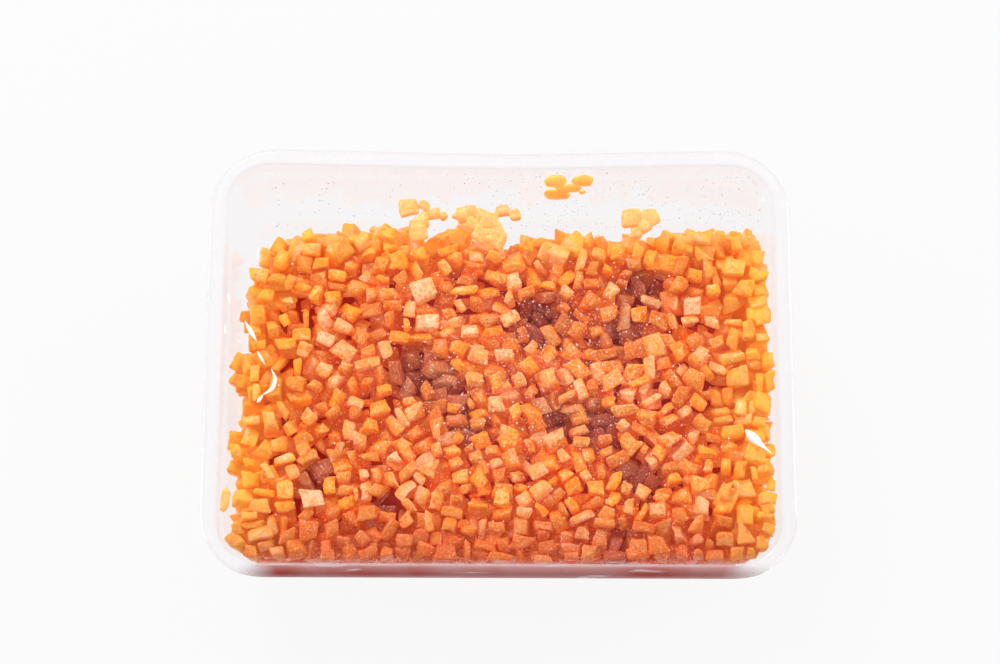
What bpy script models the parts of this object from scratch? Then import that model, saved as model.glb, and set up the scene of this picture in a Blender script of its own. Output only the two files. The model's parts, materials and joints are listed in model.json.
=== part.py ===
"""Candied orange peel dice, heat sealed in a clear thermoformed tray.

The pack lies on its base with the film up. X runs along the long side, -Y is the side
that the dice have slid towards, and the origin is under the middle of the base.
The nodes are the tray, its film, the heap of dice, and the bits stuck to the back wall.
"""

import math
import random

import bmesh
import bpy
from mathutils import Matrix, Vector

MM = 0.001

# Driving dimensions of the tray
RIM_LENGTH = 190 * MM
RIM_DEPTH = 144 * MM
TRAY_HEIGHT = 45 * MM
SHEET = 0.6 * MM
FLANGE = 5 * MM
RIM_CORNER = 16.5 * MM
CORNER_SHRINK = 0.45
# Across the flange the corners get rounder by this much more for each step outwards
FLANGE_ROUNDING = 1.0
SMALLEST_CORNER = 2 * MM
DRAFT = math.radians(6.5)
LEDGE_DROP = 8 * MM
LEDGE_WIDTH = 0.8 * MM
LEDGE_HEIGHT = 0.9 * MM
FLANGE_ROOT = 0.7 * MM
BASE_FILLET = 5 * MM
FILLET_SHARES = (0.35, 0.7, 1.0)
FOOT_WIDTH = 9 * MM
PANEL_RISE = 1.2 * MM
PANEL_RAMP = 2.5 * MM

# The front lip is folded down along a line this far out from the opening
FOLD_OUT = 2.4 * MM
FOLD_ANGLE = math.radians(62)
# A point nearer than this to the fold lies on it
ON_FOLD = 0.01 * MM
# The sealing film pulls the middle of the back wall inwards
BACK_BOW = 1.4 * MM
BOW_SPAN = 82 * MM

# The film
FILM = 0.12 * MM
CLEARANCE = 0.3 * MM
FILM_TRIM = 0.25 * MM
FILM_SAG = 0.6 * MM
SAG_RUN = 30 * MM
SAG_STEP = 7 * MM

# The dice, and how unevenly they are cut
DIE_SIDE = 6.5 * MM
DIE_THICK = 4.1 * MM
SIDE_SPREAD = (0.88, 1.14)
LENGTH_SPREAD = (0.85, 1.2)
THICK_SPREAD = (0.8, 1.2)
TAPER_SPREAD = (0.82, 0.98)
SKEW = 0.12

# The heap
HEAP_TOP_GAP = 0.35 * MM
HEAP_WALL_GAP = 0.35 * MM
CORE_DROP = 4.2 * MM
CORE_INSET = 2.4 * MM
SLOPE_INSET = 3.0 * MM
CLUMP_REACH = 14 * MM
# The heap's lower edge is rounded: height over its underside and inset of each step
HEAP_ROUND = [(0, 4.2), (3, 1.4), (8, 0)]
UNDER_LEDGE = 2.5 * MM
FLOOR_GAP = 0.4 * MM
FILL_LINE = 42.5 * MM
FILL_LEAN = math.radians(16)
LEFT_EDGE = -86.3 * MM
TOP_PITCH = 10.6 * MM
WALL_PITCH = 12.5 * MM
ROW_PITCH = 0.87
JITTER = 0.2
STAGGER = 0.25
# How a die lies in each face of the heap: depth of its middle and steepest tilt
TOP_DEPTH = (1.6 * MM, 3.4 * MM)
TOP_TILTS = (8, 14, 30, 55)
SLOPE_DEPTH = 2.6 * MM
SLOPE_TILT = math.radians(40)
WALL_DEPTH = 2.4 * MM
WALL_TILT = math.radians(12)
FILM_DEPTH = 1.9 * MM
SLICE_DEPTH = 3.0 * MM
# Where the rows of dice on the heap's faces start and end
TOP_MARGIN = 3.2 * MM
EDGE_MARGIN = 6 * MM
FRONT_HALF = 72 * MM
SIDE_ROWS = (-50 * MM, 38 * MM)

# Hollows in the top of the heap: x, y, radius and extra depth
HOLLOWS = [
    (-26, -3, 11, 3.0),
    (15, 17, 13, 3.4),
    (43, 22, 12, 2.8),
    (25, -19, 13, 3.4),
    (46, -38, 10, 3.0),
    (-12, -17, 9, 2.4),
    (38, -59, 9, 2.2),
    (-36, -47, 9, 2.0),
]
# Clumps that stand up the film behind the heap: x, y of each die, and its turn
FILM_CLUMPS = [
    (-30.0, 52.6, 12),
    (-26.6, 46.8, 30),
    (-21.8, 51.4, 48),
    (-10.8, 51.0, 5),
    (-5.2, 50.6, 32),
    (0.4, 50.8, -14),
    (-7.4, 45.6, 60),
    (-2.2, 45.2, 22),
    (5.0, 48.0, 40),
    (41.8, 47.6, 8),
    (47.6, 49.6, 26),
    (43.2, 42.8, 50),
]
# Bits stuck to the back wall: x, depth below the rim, turn in the wall
BACK_WALL_BITS = [(18.0, 6.5, 8), (27.0, 6.8, 40), (22.2, 11.6, 22), (17.2, 15.8, 55)]
# Thin slices that stand up between the heap and a side wall: x, y and turn
SIDE_SLICES = [(87.2, 9.0, 80), (86.8, -30.0, 98), (-84.9, -3.0, 100), (-84.6, -27.0, 84)]

BIT_DEPTH = 2.9 * MM
WELD = 0.05 * MM
SHARP = math.radians(35)

CORNER_STEPS = 7
LONG_STEPS = 8
SHORT_STEPS = 3
SEED = 41


def clear_scene():
    """Removes whatever the startup scene holds."""
    for obj in list(bpy.data.objects):
        bpy.data.objects.remove(obj)


def material(name, colour, roughness, alpha=1.0):
    """A Principled material with one colour."""
    made = bpy.data.materials.new(name)
    made.use_nodes = True
    shader = made.node_tree.nodes["Principled BSDF"]
    shader.inputs["Base Color"].default_value = (*colour, 1.0)
    shader.inputs["Roughness"].default_value = roughness
    shader.inputs["Metallic"].default_value = 0.0
    shader.inputs["Alpha"].default_value = alpha
    return made


def add_object(name, mesh, finish):
    """Links a mesh as a named object with one material."""
    obj = bpy.data.objects.new(name, mesh)
    bpy.context.scene.collection.objects.link(obj)
    mesh.materials.append(finish)
    return obj


def outline(inset):
    """Points of the rounded rectangle that lies inset from the rim's edge, anticlockwise."""
    half_x = RIM_LENGTH / 2 - inset
    half_y = RIM_DEPTH / 2 - inset
    radius = max(RIM_CORNER - CORNER_SHRINK * inset, SMALLEST_CORNER)
    radius += FLANGE_ROUNDING * max(FLANGE - inset, 0.0)
    points = []
    for quarter, (sx, sy) in enumerate(((1, 1), (-1, 1), (-1, -1), (1, -1))):
        centre = Vector((sx * (half_x - radius), sy * (half_y - radius)))
        for step in range(CORNER_STEPS + 1):
            angle = math.pi / 2 * (quarter + step / CORNER_STEPS)
            points.append(centre + radius * Vector((math.cos(angle), math.sin(angle))))
        following = ((-1, 1), (-1, -1), (1, -1), (1, 1))[quarter]
        turn = math.pi / 2 * (quarter + 1)
        start = points[-1]
        end = Vector((following[0] * (half_x - radius), following[1] * (half_y - radius)))
        end += radius * Vector((math.cos(turn), math.sin(turn)))
        steps = LONG_STEPS if quarter % 2 == 0 else SHORT_STEPS
        points += [start.lerp(end, n / steps) for n in range(1, steps)]
    return points


def wall_inset(height):
    """How far the middle of the wall lies inside the rim's edge at a height."""
    return FLANGE + (TRAY_HEIGHT - height) * math.tan(DRAFT)


def tray_centreline():
    """(inset, height) along the middle of the tray's sheet, from the base panel to the lip."""
    half = SHEET / 2
    top = TRAY_HEIGHT - half
    foot = wall_inset(half) + BASE_FILLET
    line = [
        (foot + FOOT_WIDTH + PANEL_RAMP, half + PANEL_RISE),
        (foot + FOOT_WIDTH, half),
        (foot, half),
    ]
    for share in FILLET_SHARES:
        angle = share * (math.pi / 2 - DRAFT)
        line.append(
            (foot - BASE_FILLET * math.sin(angle), half + BASE_FILLET * (1 - math.cos(angle)))
        )
    ledge = TRAY_HEIGHT - LEDGE_DROP
    line += [
        (wall_inset(ledge) + LEDGE_WIDTH, ledge - LEDGE_HEIGHT),
        (wall_inset(ledge), ledge),
        (wall_inset(top) + FLANGE_ROOT / 2, top - FLANGE_ROOT),
        (FLANGE - FLANGE_ROOT, top),
        (FLANGE - FOLD_OUT, top),
        (0.0, top),
    ]
    return line


def offset_line(line, distance):
    """The line moved sideways by distance, with mitred corners. Positive is inwards and up."""
    moved = []
    for n, point in enumerate(line):
        here = Vector(point)
        before = here - Vector(line[n - 1]) if n else None
        after = Vector(line[n + 1]) - here if n + 1 < len(line) else None
        normals = [Vector((d.y, -d.x)).normalized() for d in (before, after) if d is not None]
        normal = sum(normals, Vector((0, 0))).normalized()
        moved.append(here + normal * distance / max(normal.dot(normals[0]), 0.5))
    return moved


def pack_shape(point):
    """Bows the back wall in under the film's pull, then folds the front lip down."""
    x, y, z = point
    if y > 0:
        span = min(abs(x) / BOW_SPAN, 1.0)
        height = min(max(z / TRAY_HEIGHT, 0.0), 1.0)
        near = min(y / (RIM_DEPTH / 2 - FLANGE), 1.0)
        y -= BACK_BOW * math.cos(span * math.pi / 2) ** 2 * height**2 * near**3
    fold_y = -(RIM_DEPTH / 2 - FLANGE + FOLD_OUT)
    pivot_z = TRAY_HEIGHT - SHEET / 2
    out, up = fold_y - y, z - pivot_z
    if out > ON_FOLD and z > TRAY_HEIGHT - LEDGE_DROP:
        y = fold_y - out * math.cos(FOLD_ANGLE) - up * math.sin(FOLD_ANGLE)
        z = pivot_z - out * math.sin(FOLD_ANGLE) + up * math.cos(FOLD_ANGLE)
    return Vector((x, y, z))


def loops_to_mesh(name, loops):
    """A closed mesh through loops of (x, y, z) points, with a flat cap at each end."""
    made = bmesh.new()
    rings = [[made.verts.new(pack_shape(p)) for p in loop] for loop in loops]
    count = len(rings[0])
    for low, high in zip(rings, rings[1:]):
        for n in range(count):
            after = (n + 1) % count
            made.faces.new((low[n], low[after], high[after]))
            made.faces.new((low[n], high[after], high[n]))
    made.faces.new(list(reversed(rings[0])))
    made.faces.new(rings[-1])
    bmesh.ops.recalc_face_normals(made, faces=made.faces)
    mesh = bpy.data.meshes.new(name)
    made.to_mesh(mesh)
    made.free()
    return mesh


def ring(inset, height):
    """One loop of points round the tray."""
    return [(p.x, p.y, height) for p in outline(inset)]


def make_tray(finish):
    """The clear tray: base with a foot, drafted walls with a ledge, and the flat flange."""
    line = tray_centreline()
    under = offset_line(line, -SHEET / 2)
    inner = offset_line(line, SHEET / 2)
    loops = [ring(inset, height) for inset, height in under]
    loops += [ring(inset, height) for inset, height in reversed(inner)]
    tray = add_object("tray", loops_to_mesh("tray", loops), finish)
    tray.data.shade_smooth()
    tray.data.set_sharp_from_angle(angle=SHARP)
    return tray


def film_height(inset):
    """Height of the film's lower face, which sags a little between the flanges."""
    share = min(max((inset - FLANGE) / SAG_RUN, 0.0), 1.0)
    return TRAY_HEIGHT + CLEARANCE - FILM_SAG * (1 - (1 - share) ** 2)


def make_film(finish):
    """The sealing film: one thin sheet over the flange and the opening."""
    insets = [FILM_TRIM, FLANGE - FOLD_OUT, FLANGE, FLANGE + SAG_STEP, FLANGE + SAG_RUN]
    lower = [ring(inset, film_height(inset)) for inset in insets]
    upper = [ring(inset, film_height(inset) + FILM) for inset in insets]
    loops = list(reversed(upper)) + lower
    film = add_object("lid_film", loops_to_mesh("lid_film", loops), finish)
    film.data.shade_smooth()
    return film


def fill_edge(height):
    """Where the heap ends towards the back at a height: its slope leans to the back wall."""
    return FILL_LINE + (TRAY_HEIGHT - height) * math.tan(FILL_LEAN)


def hollow_depth(x, y):
    """Extra depth of the heap's top at a place, from the hollows between the dice."""
    depth = 0.0
    for cx, cy, radius, drop in HOLLOWS:
        far = math.hypot(x / MM - cx, y / MM - cy) / radius
        if far < 1:
            depth = max(depth, drop * MM * (1 - far * far) ** 2)
    return depth


def inner_half(height, gap):
    """Half length and half depth of the tray's inside at a height, less a gap."""
    inset = wall_inset(height) + SHEET / 2 + gap
    if height < TRAY_HEIGHT - LEDGE_DROP:
        inset += LEDGE_WIDTH
    return RIM_LENGTH / 2 - inset, RIM_DEPTH / 2 - inset


def heap_block(name, gap, bottom, top, slope_in, left):
    """A closed block inside the tray, cut along the heap's back slope and its left edge."""
    made = bmesh.new()
    steps = [(bottom + rise * MM, shrink * MM) for rise, shrink in HEAP_ROUND]
    steps += [(TRAY_HEIGHT - LEDGE_DROP - UNDER_LEDGE, 0.0), (top, 0.0)]
    rings = []
    for height, shrink in steps:
        inset = wall_inset(height) + SHEET / 2 + gap + LEDGE_WIDTH + shrink
        back = fill_edge(height) - slope_in
        verts = []
        for p in outline(inset):
            verts.append(made.verts.new((max(p.x, left), min(p.y, back), height)))
        rings.append(verts)
    count = len(rings[0])
    for low, high in zip(rings, rings[1:]):
        for n in range(count):
            after = (n + 1) % count
            made.faces.new((low[n], low[after], high[after], high[n]))
    made.faces.new(list(reversed(rings[0])))
    made.faces.new(rings[-1])
    bmesh.ops.remove_doubles(made, verts=made.verts, dist=WELD)
    bmesh.ops.recalc_face_normals(made, faces=made.faces)
    mesh = bpy.data.meshes.new(name)
    made.to_mesh(mesh)
    made.free()
    obj = bpy.data.objects.new(name, mesh)
    bpy.context.scene.collection.objects.link(obj)
    return obj


def die_mesh(rng):
    """One cut die of peel: six sides, slightly tapered and skewed."""
    made = bmesh.new()
    bmesh.ops.create_cube(made, size=1.0)
    side = DIE_SIDE * rng.uniform(*SIDE_SPREAD)
    long_side = side * rng.uniform(*LENGTH_SPREAD)
    thick = DIE_THICK * rng.uniform(*THICK_SPREAD)
    taper = rng.uniform(*TAPER_SPREAD)
    skew = rng.uniform(-SKEW, SKEW)
    for vert in made.verts:
        shrink = taper if vert.co.z > 0 else 1.0
        x = vert.co.x * side * shrink + skew * vert.co.y * side
        vert.co = Vector((x, vert.co.y * long_side * shrink, vert.co.z * thick))
    mesh = bpy.data.meshes.new("die")
    made.to_mesh(mesh)
    made.free()
    return mesh


def place_die(dice, rng, place, normal, tilt):
    """Adds a die at a place, turned at random about the surface's normal and tilted off it."""
    turn = Matrix.Rotation(rng.uniform(0, 2 * math.pi), 4, "Z")
    lean_axis = Vector((1, 0, 0)) @ Matrix.Rotation(rng.uniform(0, 2 * math.pi), 3, "Z")
    lean = Matrix.Rotation(rng.uniform(-tilt, tilt), 4, lean_axis)
    face = Vector(normal).to_track_quat("Z", "Y").to_matrix().to_4x4()
    obj = bpy.data.objects.new("die", die_mesh(rng))
    obj.matrix_world = Matrix.Translation(place) @ face @ lean @ turn
    dice.objects.link(obj)


def jittered_grid(rng, low_u, high_u, low_v, high_v, pitch):
    """Places of a staggered grid with random shifts, evenly over a rectangle."""
    rows = max(int((high_v - low_v) / (pitch * ROW_PITCH)), 1)
    columns = max(int((high_u - low_u) / pitch), 1)
    for row in range(rows + 1):
        shift = STAGGER if row % 2 else -STAGGER
        for column in range(columns + 1):
            u = low_u + (high_u - low_u) * (column + shift) / columns
            v = low_v + (high_v - low_v) * row / rows
            reach = JITTER * pitch
            yield u + rng.uniform(-reach, reach), v + rng.uniform(-reach, reach)


def scatter_top(dice, rng, top):
    """Dice over the top of the heap, lower in its hollows."""
    half_x, half_y = inner_half(top, TOP_MARGIN)
    for x, y in jittered_grid(rng, -half_x, half_x, -half_y, FILL_LINE, TOP_PITCH):
        drop = hollow_depth(x, y) + rng.uniform(*TOP_DEPTH)
        tilt = math.radians(rng.choice(TOP_TILTS))
        place_die(dice, rng, Vector((x, y, top - drop)), (0, 0, 1), tilt)


def scatter_slope(dice, rng, bottom, top):
    """Dice over the slope at the back of the heap."""
    low, high = bottom + EDGE_MARGIN, top - EDGE_MARGIN
    normal = (0, math.cos(FILL_LEAN), math.sin(FILL_LEAN))
    for x, z in jittered_grid(rng, -FRONT_HALF, FRONT_HALF, low, high, WALL_PITCH):
        place = Vector((x, fill_edge(z) - SLOPE_DEPTH, z))
        place_die(dice, rng, place, normal, SLOPE_TILT)


def scatter_walls(dice, rng, bottom, top):
    """Dice against the front wall and both side walls."""
    low, high = bottom + EDGE_MARGIN, top - EDGE_MARGIN
    for x, z in jittered_grid(rng, -FRONT_HALF, FRONT_HALF, low, high, WALL_PITCH):
        y = -inner_half(z, WALL_DEPTH)[1]
        place_die(dice, rng, Vector((x, y, z)), (0, -1, 0), WALL_TILT)
    for side in (-1, 1):
        for y, z in jittered_grid(rng, *SIDE_ROWS, low, high, WALL_PITCH):
            x = max(side * inner_half(z, WALL_DEPTH)[0], LEFT_EDGE + WALL_DEPTH)
            place_die(dice, rng, Vector((x, y, z)), (side, 0, 0), WALL_TILT)


def scatter_film_clumps(dice, rng, top):
    """Dice of the clumps that cling to the film behind the heap's edge."""
    for x, y, turn in FILM_CLUMPS:
        obj = bpy.data.objects.new("die", die_mesh(rng))
        place = Vector((x * MM, y * MM, top - FILM_DEPTH))
        obj.matrix_world = Matrix.Translation(place) @ Matrix.Rotation(math.radians(turn), 4, "Z")
        dice.objects.link(obj)


def scatter_side_slices(dice, rng, top):
    """Dice on edge between the heap and the side walls, up under the film."""
    upright = Matrix.Rotation(math.pi / 2, 4, "X")
    for x, y, turn in SIDE_SLICES:
        obj = bpy.data.objects.new("die", die_mesh(rng))
        place = Vector((x * MM, y * MM, top - SLICE_DEPTH))
        spin = Matrix.Rotation(math.radians(turn), 4, "Z")
        obj.matrix_world = Matrix.Translation(place) @ spin @ upright
        dice.objects.link(obj)


def apply_boolean(obj, operation, other=None, collection=None, solver="EXACT"):
    """Applies one Boolean to obj, so that its helpers can be removed."""
    step = obj.modifiers.new("boolean", "BOOLEAN")
    step.operation = operation
    step.solver = solver
    if collection:
        step.operand_type = "COLLECTION"
        step.collection = collection
    else:
        step.object = other
    graph = bpy.context.evaluated_depsgraph_get()
    mesh = bpy.data.meshes.new_from_object(obj.evaluated_get(graph))
    obj.modifiers.clear()
    obj.data = mesh


def keep_largest_body(obj):
    """Drops loose scraps that the trimming leaves beside the heap."""
    made = bmesh.new()
    made.from_mesh(obj.data)
    left, bodies = set(made.verts), []
    while left:
        body, edge = set(), [left.pop()]
        while edge:
            vert = edge.pop()
            body.add(vert)
            near = {e.other_vert(vert) for e in vert.link_edges} & left
            left -= near
            edge += near
        bodies.append(body)
    bodies.sort(key=len)
    for body in bodies[:-1]:
        bmesh.ops.delete(made, geom=list(body), context="VERTS")
    made.to_mesh(obj.data)
    made.free()


def make_heap(finish):
    """The heap: a core with the dice that show fused on, trimmed to the space in the tray."""
    rng = random.Random(SEED)
    bottom = SHEET + PANEL_RISE + FLOOR_GAP
    top = TRAY_HEIGHT - FILM_SAG - HEAP_TOP_GAP
    core_gap = HEAP_WALL_GAP + CORE_INSET
    core_left = LEFT_EDGE + CORE_INSET
    core = heap_block("peel_heap", core_gap, bottom, top - CORE_DROP, SLOPE_INSET, core_left)
    room = heap_block("room", HEAP_WALL_GAP, bottom, top, -CLUMP_REACH, LEFT_EDGE)
    dice = bpy.data.collections.new("dice")
    bpy.context.scene.collection.children.link(dice)
    scatter_top(dice, rng, top)
    scatter_slope(dice, rng, bottom, top)
    scatter_walls(dice, rng, bottom, top)
    scatter_film_clumps(dice, rng, top)
    scatter_side_slices(dice, rng, top)
    apply_boolean(core, "UNION", collection=dice)
    apply_boolean(core, "INTERSECT", other=room, solver="MANIFOLD")
    for obj in list(dice.objects) + [room]:
        bpy.data.objects.remove(obj)
    bpy.data.collections.remove(dice)
    keep_largest_body(core)
    core.data.materials.clear()
    core.data.materials.append(finish)
    return core


def make_back_bits(finish):
    """Dice stuck side by side to the back wall, above the heap's slope."""
    rng = random.Random(SEED + 1)
    bits = bpy.data.collections.new("bits")
    bpy.context.scene.collection.children.link(bits)
    first = None
    for x, depth, turn in BACK_WALL_BITS:
        height = TRAY_HEIGHT - depth * MM
        wall_y = RIM_DEPTH / 2 - wall_inset(height) - BACK_BOW - LEDGE_WIDTH - SHEET
        obj = bpy.data.objects.new("bit", die_mesh(rng))
        face = Vector((0, -1, 0)).to_track_quat("Z", "Y").to_matrix().to_4x4()
        place = Matrix.Translation(Vector((x * MM, wall_y - BIT_DEPTH, height)))
        spin = Matrix.Rotation(math.radians(turn), 4, "Z")
        obj.matrix_world = place @ face @ spin
        if first is None:
            first = obj
            bpy.context.scene.collection.objects.link(obj)
        else:
            bits.objects.link(obj)
    apply_boolean(first, "UNION", collection=bits)
    for obj in list(bits.objects):
        bpy.data.objects.remove(obj)
    bpy.data.collections.remove(bits)
    first.name = "stuck_bits_back"
    first.data.materials.clear()
    first.data.materials.append(finish)
    return first


def stand_on_origin():
    """Moves every piece so that the origin is under the middle of the pack's outline."""
    bpy.context.view_layer.update()
    corners = [o.matrix_world @ Vector(c) for o in bpy.data.objects for c in o.bound_box]
    low = min(c.y for c in corners)
    high = max(c.y for c in corners)
    for obj in bpy.data.objects:
        obj.location.y -= (low + high) / 2


def main():
    """Builds the pack."""
    clear_scene()
    clear_sheet = material("clear_sheet", (0.94, 0.95, 0.97), 0.08, 0.25)
    film = material("film", (0.96, 0.97, 0.99), 0.06, 0.18)
    peel = material("candied_peel", (0.93, 0.33, 0.06), 0.35)
    make_tray(clear_sheet)
    make_film(film)
    make_heap(peel)
    make_back_bits(peel)
    stand_on_origin()


main()
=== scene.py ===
"""Looks of a clear sealed tray of candied orange peel dice.

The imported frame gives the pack's sizes. The tray and the film are modelled again as thin
clear shells, and the heap as a few thousand soft dice that settle by a rigid body simulation
and then lie over a core of their own. A pale floor, soft lights and a camera complete it.
"""

import json
import logging
import math
from dataclasses import dataclass, field
from enum import Enum
from typing import Any, Callable, Iterable, Sequence

import bpy
import numpy as np
from mathutils import Matrix, Vector

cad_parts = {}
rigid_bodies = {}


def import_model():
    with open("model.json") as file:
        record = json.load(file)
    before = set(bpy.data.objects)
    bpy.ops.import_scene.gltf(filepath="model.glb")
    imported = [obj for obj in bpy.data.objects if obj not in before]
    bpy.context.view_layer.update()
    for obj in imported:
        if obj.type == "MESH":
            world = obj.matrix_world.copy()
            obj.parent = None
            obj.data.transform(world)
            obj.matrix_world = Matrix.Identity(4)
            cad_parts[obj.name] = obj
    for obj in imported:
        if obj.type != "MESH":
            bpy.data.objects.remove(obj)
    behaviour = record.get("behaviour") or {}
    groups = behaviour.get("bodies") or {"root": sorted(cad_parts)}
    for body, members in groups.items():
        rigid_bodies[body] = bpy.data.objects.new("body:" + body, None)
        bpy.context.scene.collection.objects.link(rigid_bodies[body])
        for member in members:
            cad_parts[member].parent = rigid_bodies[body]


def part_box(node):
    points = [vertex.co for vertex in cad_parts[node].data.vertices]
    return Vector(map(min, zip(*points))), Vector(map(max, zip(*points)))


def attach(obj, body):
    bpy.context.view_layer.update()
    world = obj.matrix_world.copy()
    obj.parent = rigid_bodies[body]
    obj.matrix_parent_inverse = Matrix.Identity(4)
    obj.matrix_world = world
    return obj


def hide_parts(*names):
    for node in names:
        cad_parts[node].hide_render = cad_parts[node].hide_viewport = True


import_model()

MM = 0.001
SEED = 7
BODY = "root"

log = logging.getLogger("pack")
Colour = tuple[float, float, float]


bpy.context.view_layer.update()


class Slot(Enum):
    """The record's material slots."""

    TRAY = "clear_tray"
    FILM = "clear_film"
    PEEL = "candied_peel"


class Kind(Enum):
    """What a die of peel mostly shows."""

    ZEST = "zest"
    PEACH = "peach"
    PALE = "pale"
    DEEP = "deep"
    AMBER = "amber"
    HONEY = "honey"


def maths(operation: str, flip: bool = False) -> Callable[["Wire", Any], "Wire"]:
    """Makes one of the operators of a wire.

    Args:
        operation: The Math node's operation.
        flip: Whether the other value comes first, as in a reflected operator.

    Returns:
        The operator's method.
    """

    def method(self: "Wire", other: Any) -> "Wire":
        """Adds the Math node for this wire and another wire or value."""
        first, second = (other, self) if flip else (self, other)
        return self.kit.add("ShaderNodeMath", {"operation": operation}, {0: first, 1: second})

    return method


@dataclass(frozen=True)
class Wire:
    """An output socket that takes part in Python expressions."""

    kit: "NodeKit"
    socket: bpy.types.NodeSocket

    __add__ = maths("ADD")
    __radd__ = maths("ADD", flip=True)
    __sub__ = maths("SUBTRACT")
    __rsub__ = maths("SUBTRACT", flip=True)
    __mul__ = maths("MULTIPLY")
    __rmul__ = maths("MULTIPLY", flip=True)
    __truediv__ = maths("DIVIDE")
    __pow__ = maths("POWER")

    def between(self, low: float, high: float) -> "Wire":
        """A smooth step from 0 at low to 1 at high.

        Args:
            low: Where the step starts.
            high: Where it ends.

        Returns:
            The stepped value.
        """
        settings = {"interpolation_type": "SMOOTHSTEP"}
        return self.kit.add("ShaderNodeMapRange", settings, {0: self, 1: low, 2: high})


class NodeKit:
    """Builds the nodes of one tree."""

    def __init__(self, tree: bpy.types.NodeTree) -> None:
        """Empties the tree.

        Args:
            tree: The material's or the world's node tree.
        """
        self.tree = tree
        tree.nodes.clear()

    def add(
        self,
        kind: str,
        settings: dict[str, Any] | None = None,
        inputs: dict[int | str, Any] | None = None,
        output: int | str = 0,
    ) -> Wire:
        """Adds one node.

        Args:
            kind: The node's type.
            settings: Its properties, set first. The key stops fills a colour ramp.
            inputs: Values or wires by socket.
            output: The socket that the wire stands for.

        Returns:
            A wire from the chosen output.
        """
        node = self.tree.nodes.new(kind)
        for name, value in (settings or {}).items():
            if name == "stops":
                self._fill_ramp(node.color_ramp, value)
            else:
                setattr(node, name, value)
        for key, value in (inputs or {}).items():
            socket = node.inputs[key]
            if isinstance(value, Wire):
                self.tree.links.new(value.socket, socket)
            elif socket.type == "RGBA":
                socket.default_value = (*value[:3], 1.0)
            else:
                socket.default_value = value
        return Wire(self, node.outputs[output] if len(node.outputs) else None)

    @staticmethod
    def _fill_ramp(colours: bpy.types.ColorRamp, stops: Sequence[tuple[float, Colour]]) -> None:
        """Sets a ramp's stops.

        Args:
            colours: The ramp.
            stops: Position and colour of each stop, in order.
        """
        while len(colours.elements) < len(stops):
            colours.elements.new(1.0)
        for element, (position, colour) in zip(colours.elements, stops):
            element.position = position
            element.color = (*colour, 1.0)

    def blend(self, factor: Any, first: Any, second: Any) -> Wire:
        """Mixes two colours.

        Args:
            factor: How much of the second one.
            first: A colour or wire.
            second: A colour or wire.

        Returns:
            The mixed colour.
        """
        inputs = {0: factor, 6: first, 7: second}
        return self.add("ShaderNodeMix", {"data_type": "RGBA"}, inputs, 2)

    def noise(self, place: Wire, scale: float, detail: float = 2.0) -> Wire:
        """Noise from 0 to 1.

        Args:
            place: Coordinates.
            scale: Cells per metre.
            detail: Octaves.

        Returns:
            The noise value.
        """
        inputs = {"Vector": place, "Scale": scale, "Detail": detail}
        return self.add("ShaderNodeTexNoise", {"noise_dimensions": "3D"}, inputs)

    def attribute(self, name: str, output: str = "Fac") -> Wire:
        """A named attribute of the mesh.

        Args:
            name: The attribute's name.
            output: The Attribute node's output.

        Returns:
            A wire from it.
        """
        return self.add("ShaderNodeAttribute", {"attribute_name": name}, None, output)

    def place(self) -> Wire:
        """The object's own coordinates, in metres."""
        return self.add("ShaderNodeTexCoord", None, None, "Object")

    def bump(self, height: Wire, distance: float) -> Wire:
        """A bumped normal.

        Args:
            height: Height from 0 to 1.
            distance: What a height of 1 stands for, in metres.

        Returns:
            The normal.
        """
        return self.add("ShaderNodeBump", None, {"Height": height, "Distance": distance})

    def principled(self, **inputs: Any) -> Wire:
        """A Principled shader, with the quickest way to scatter light below the surface.

        Args:
            inputs: Socket values or wires, with underscores for spaces.

        Returns:
            The shader.
        """
        settings = {"subsurface_method": "BURLEY"}
        named = {name.replace("_", " "): value for name, value in inputs.items()}
        return self.add("ShaderNodeBsdfPrincipled", settings, named)

    def surface(self, shader: Wire) -> None:
        """Makes a shader the material's surface."""
        self.add("ShaderNodeOutputMaterial", None, {"Surface": shader})


class Finish:
    """What all finishes share: a name, and a shader that becomes a material."""

    name: str

    def shader(self, kit: NodeKit) -> Wire:
        """The finish's shader.

        Args:
            kit: The material's kit.

        Returns:
            The shader.
        """
        raise NotImplementedError

    def build(self) -> bpy.types.Material:
        """Makes the material.

        Returns:
            The material.
        """
        material = bpy.data.materials.new(self.name)
        material.use_nodes = True
        kit = NodeKit(material.node_tree)
        kit.surface(self.shader(kit))
        return material


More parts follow.
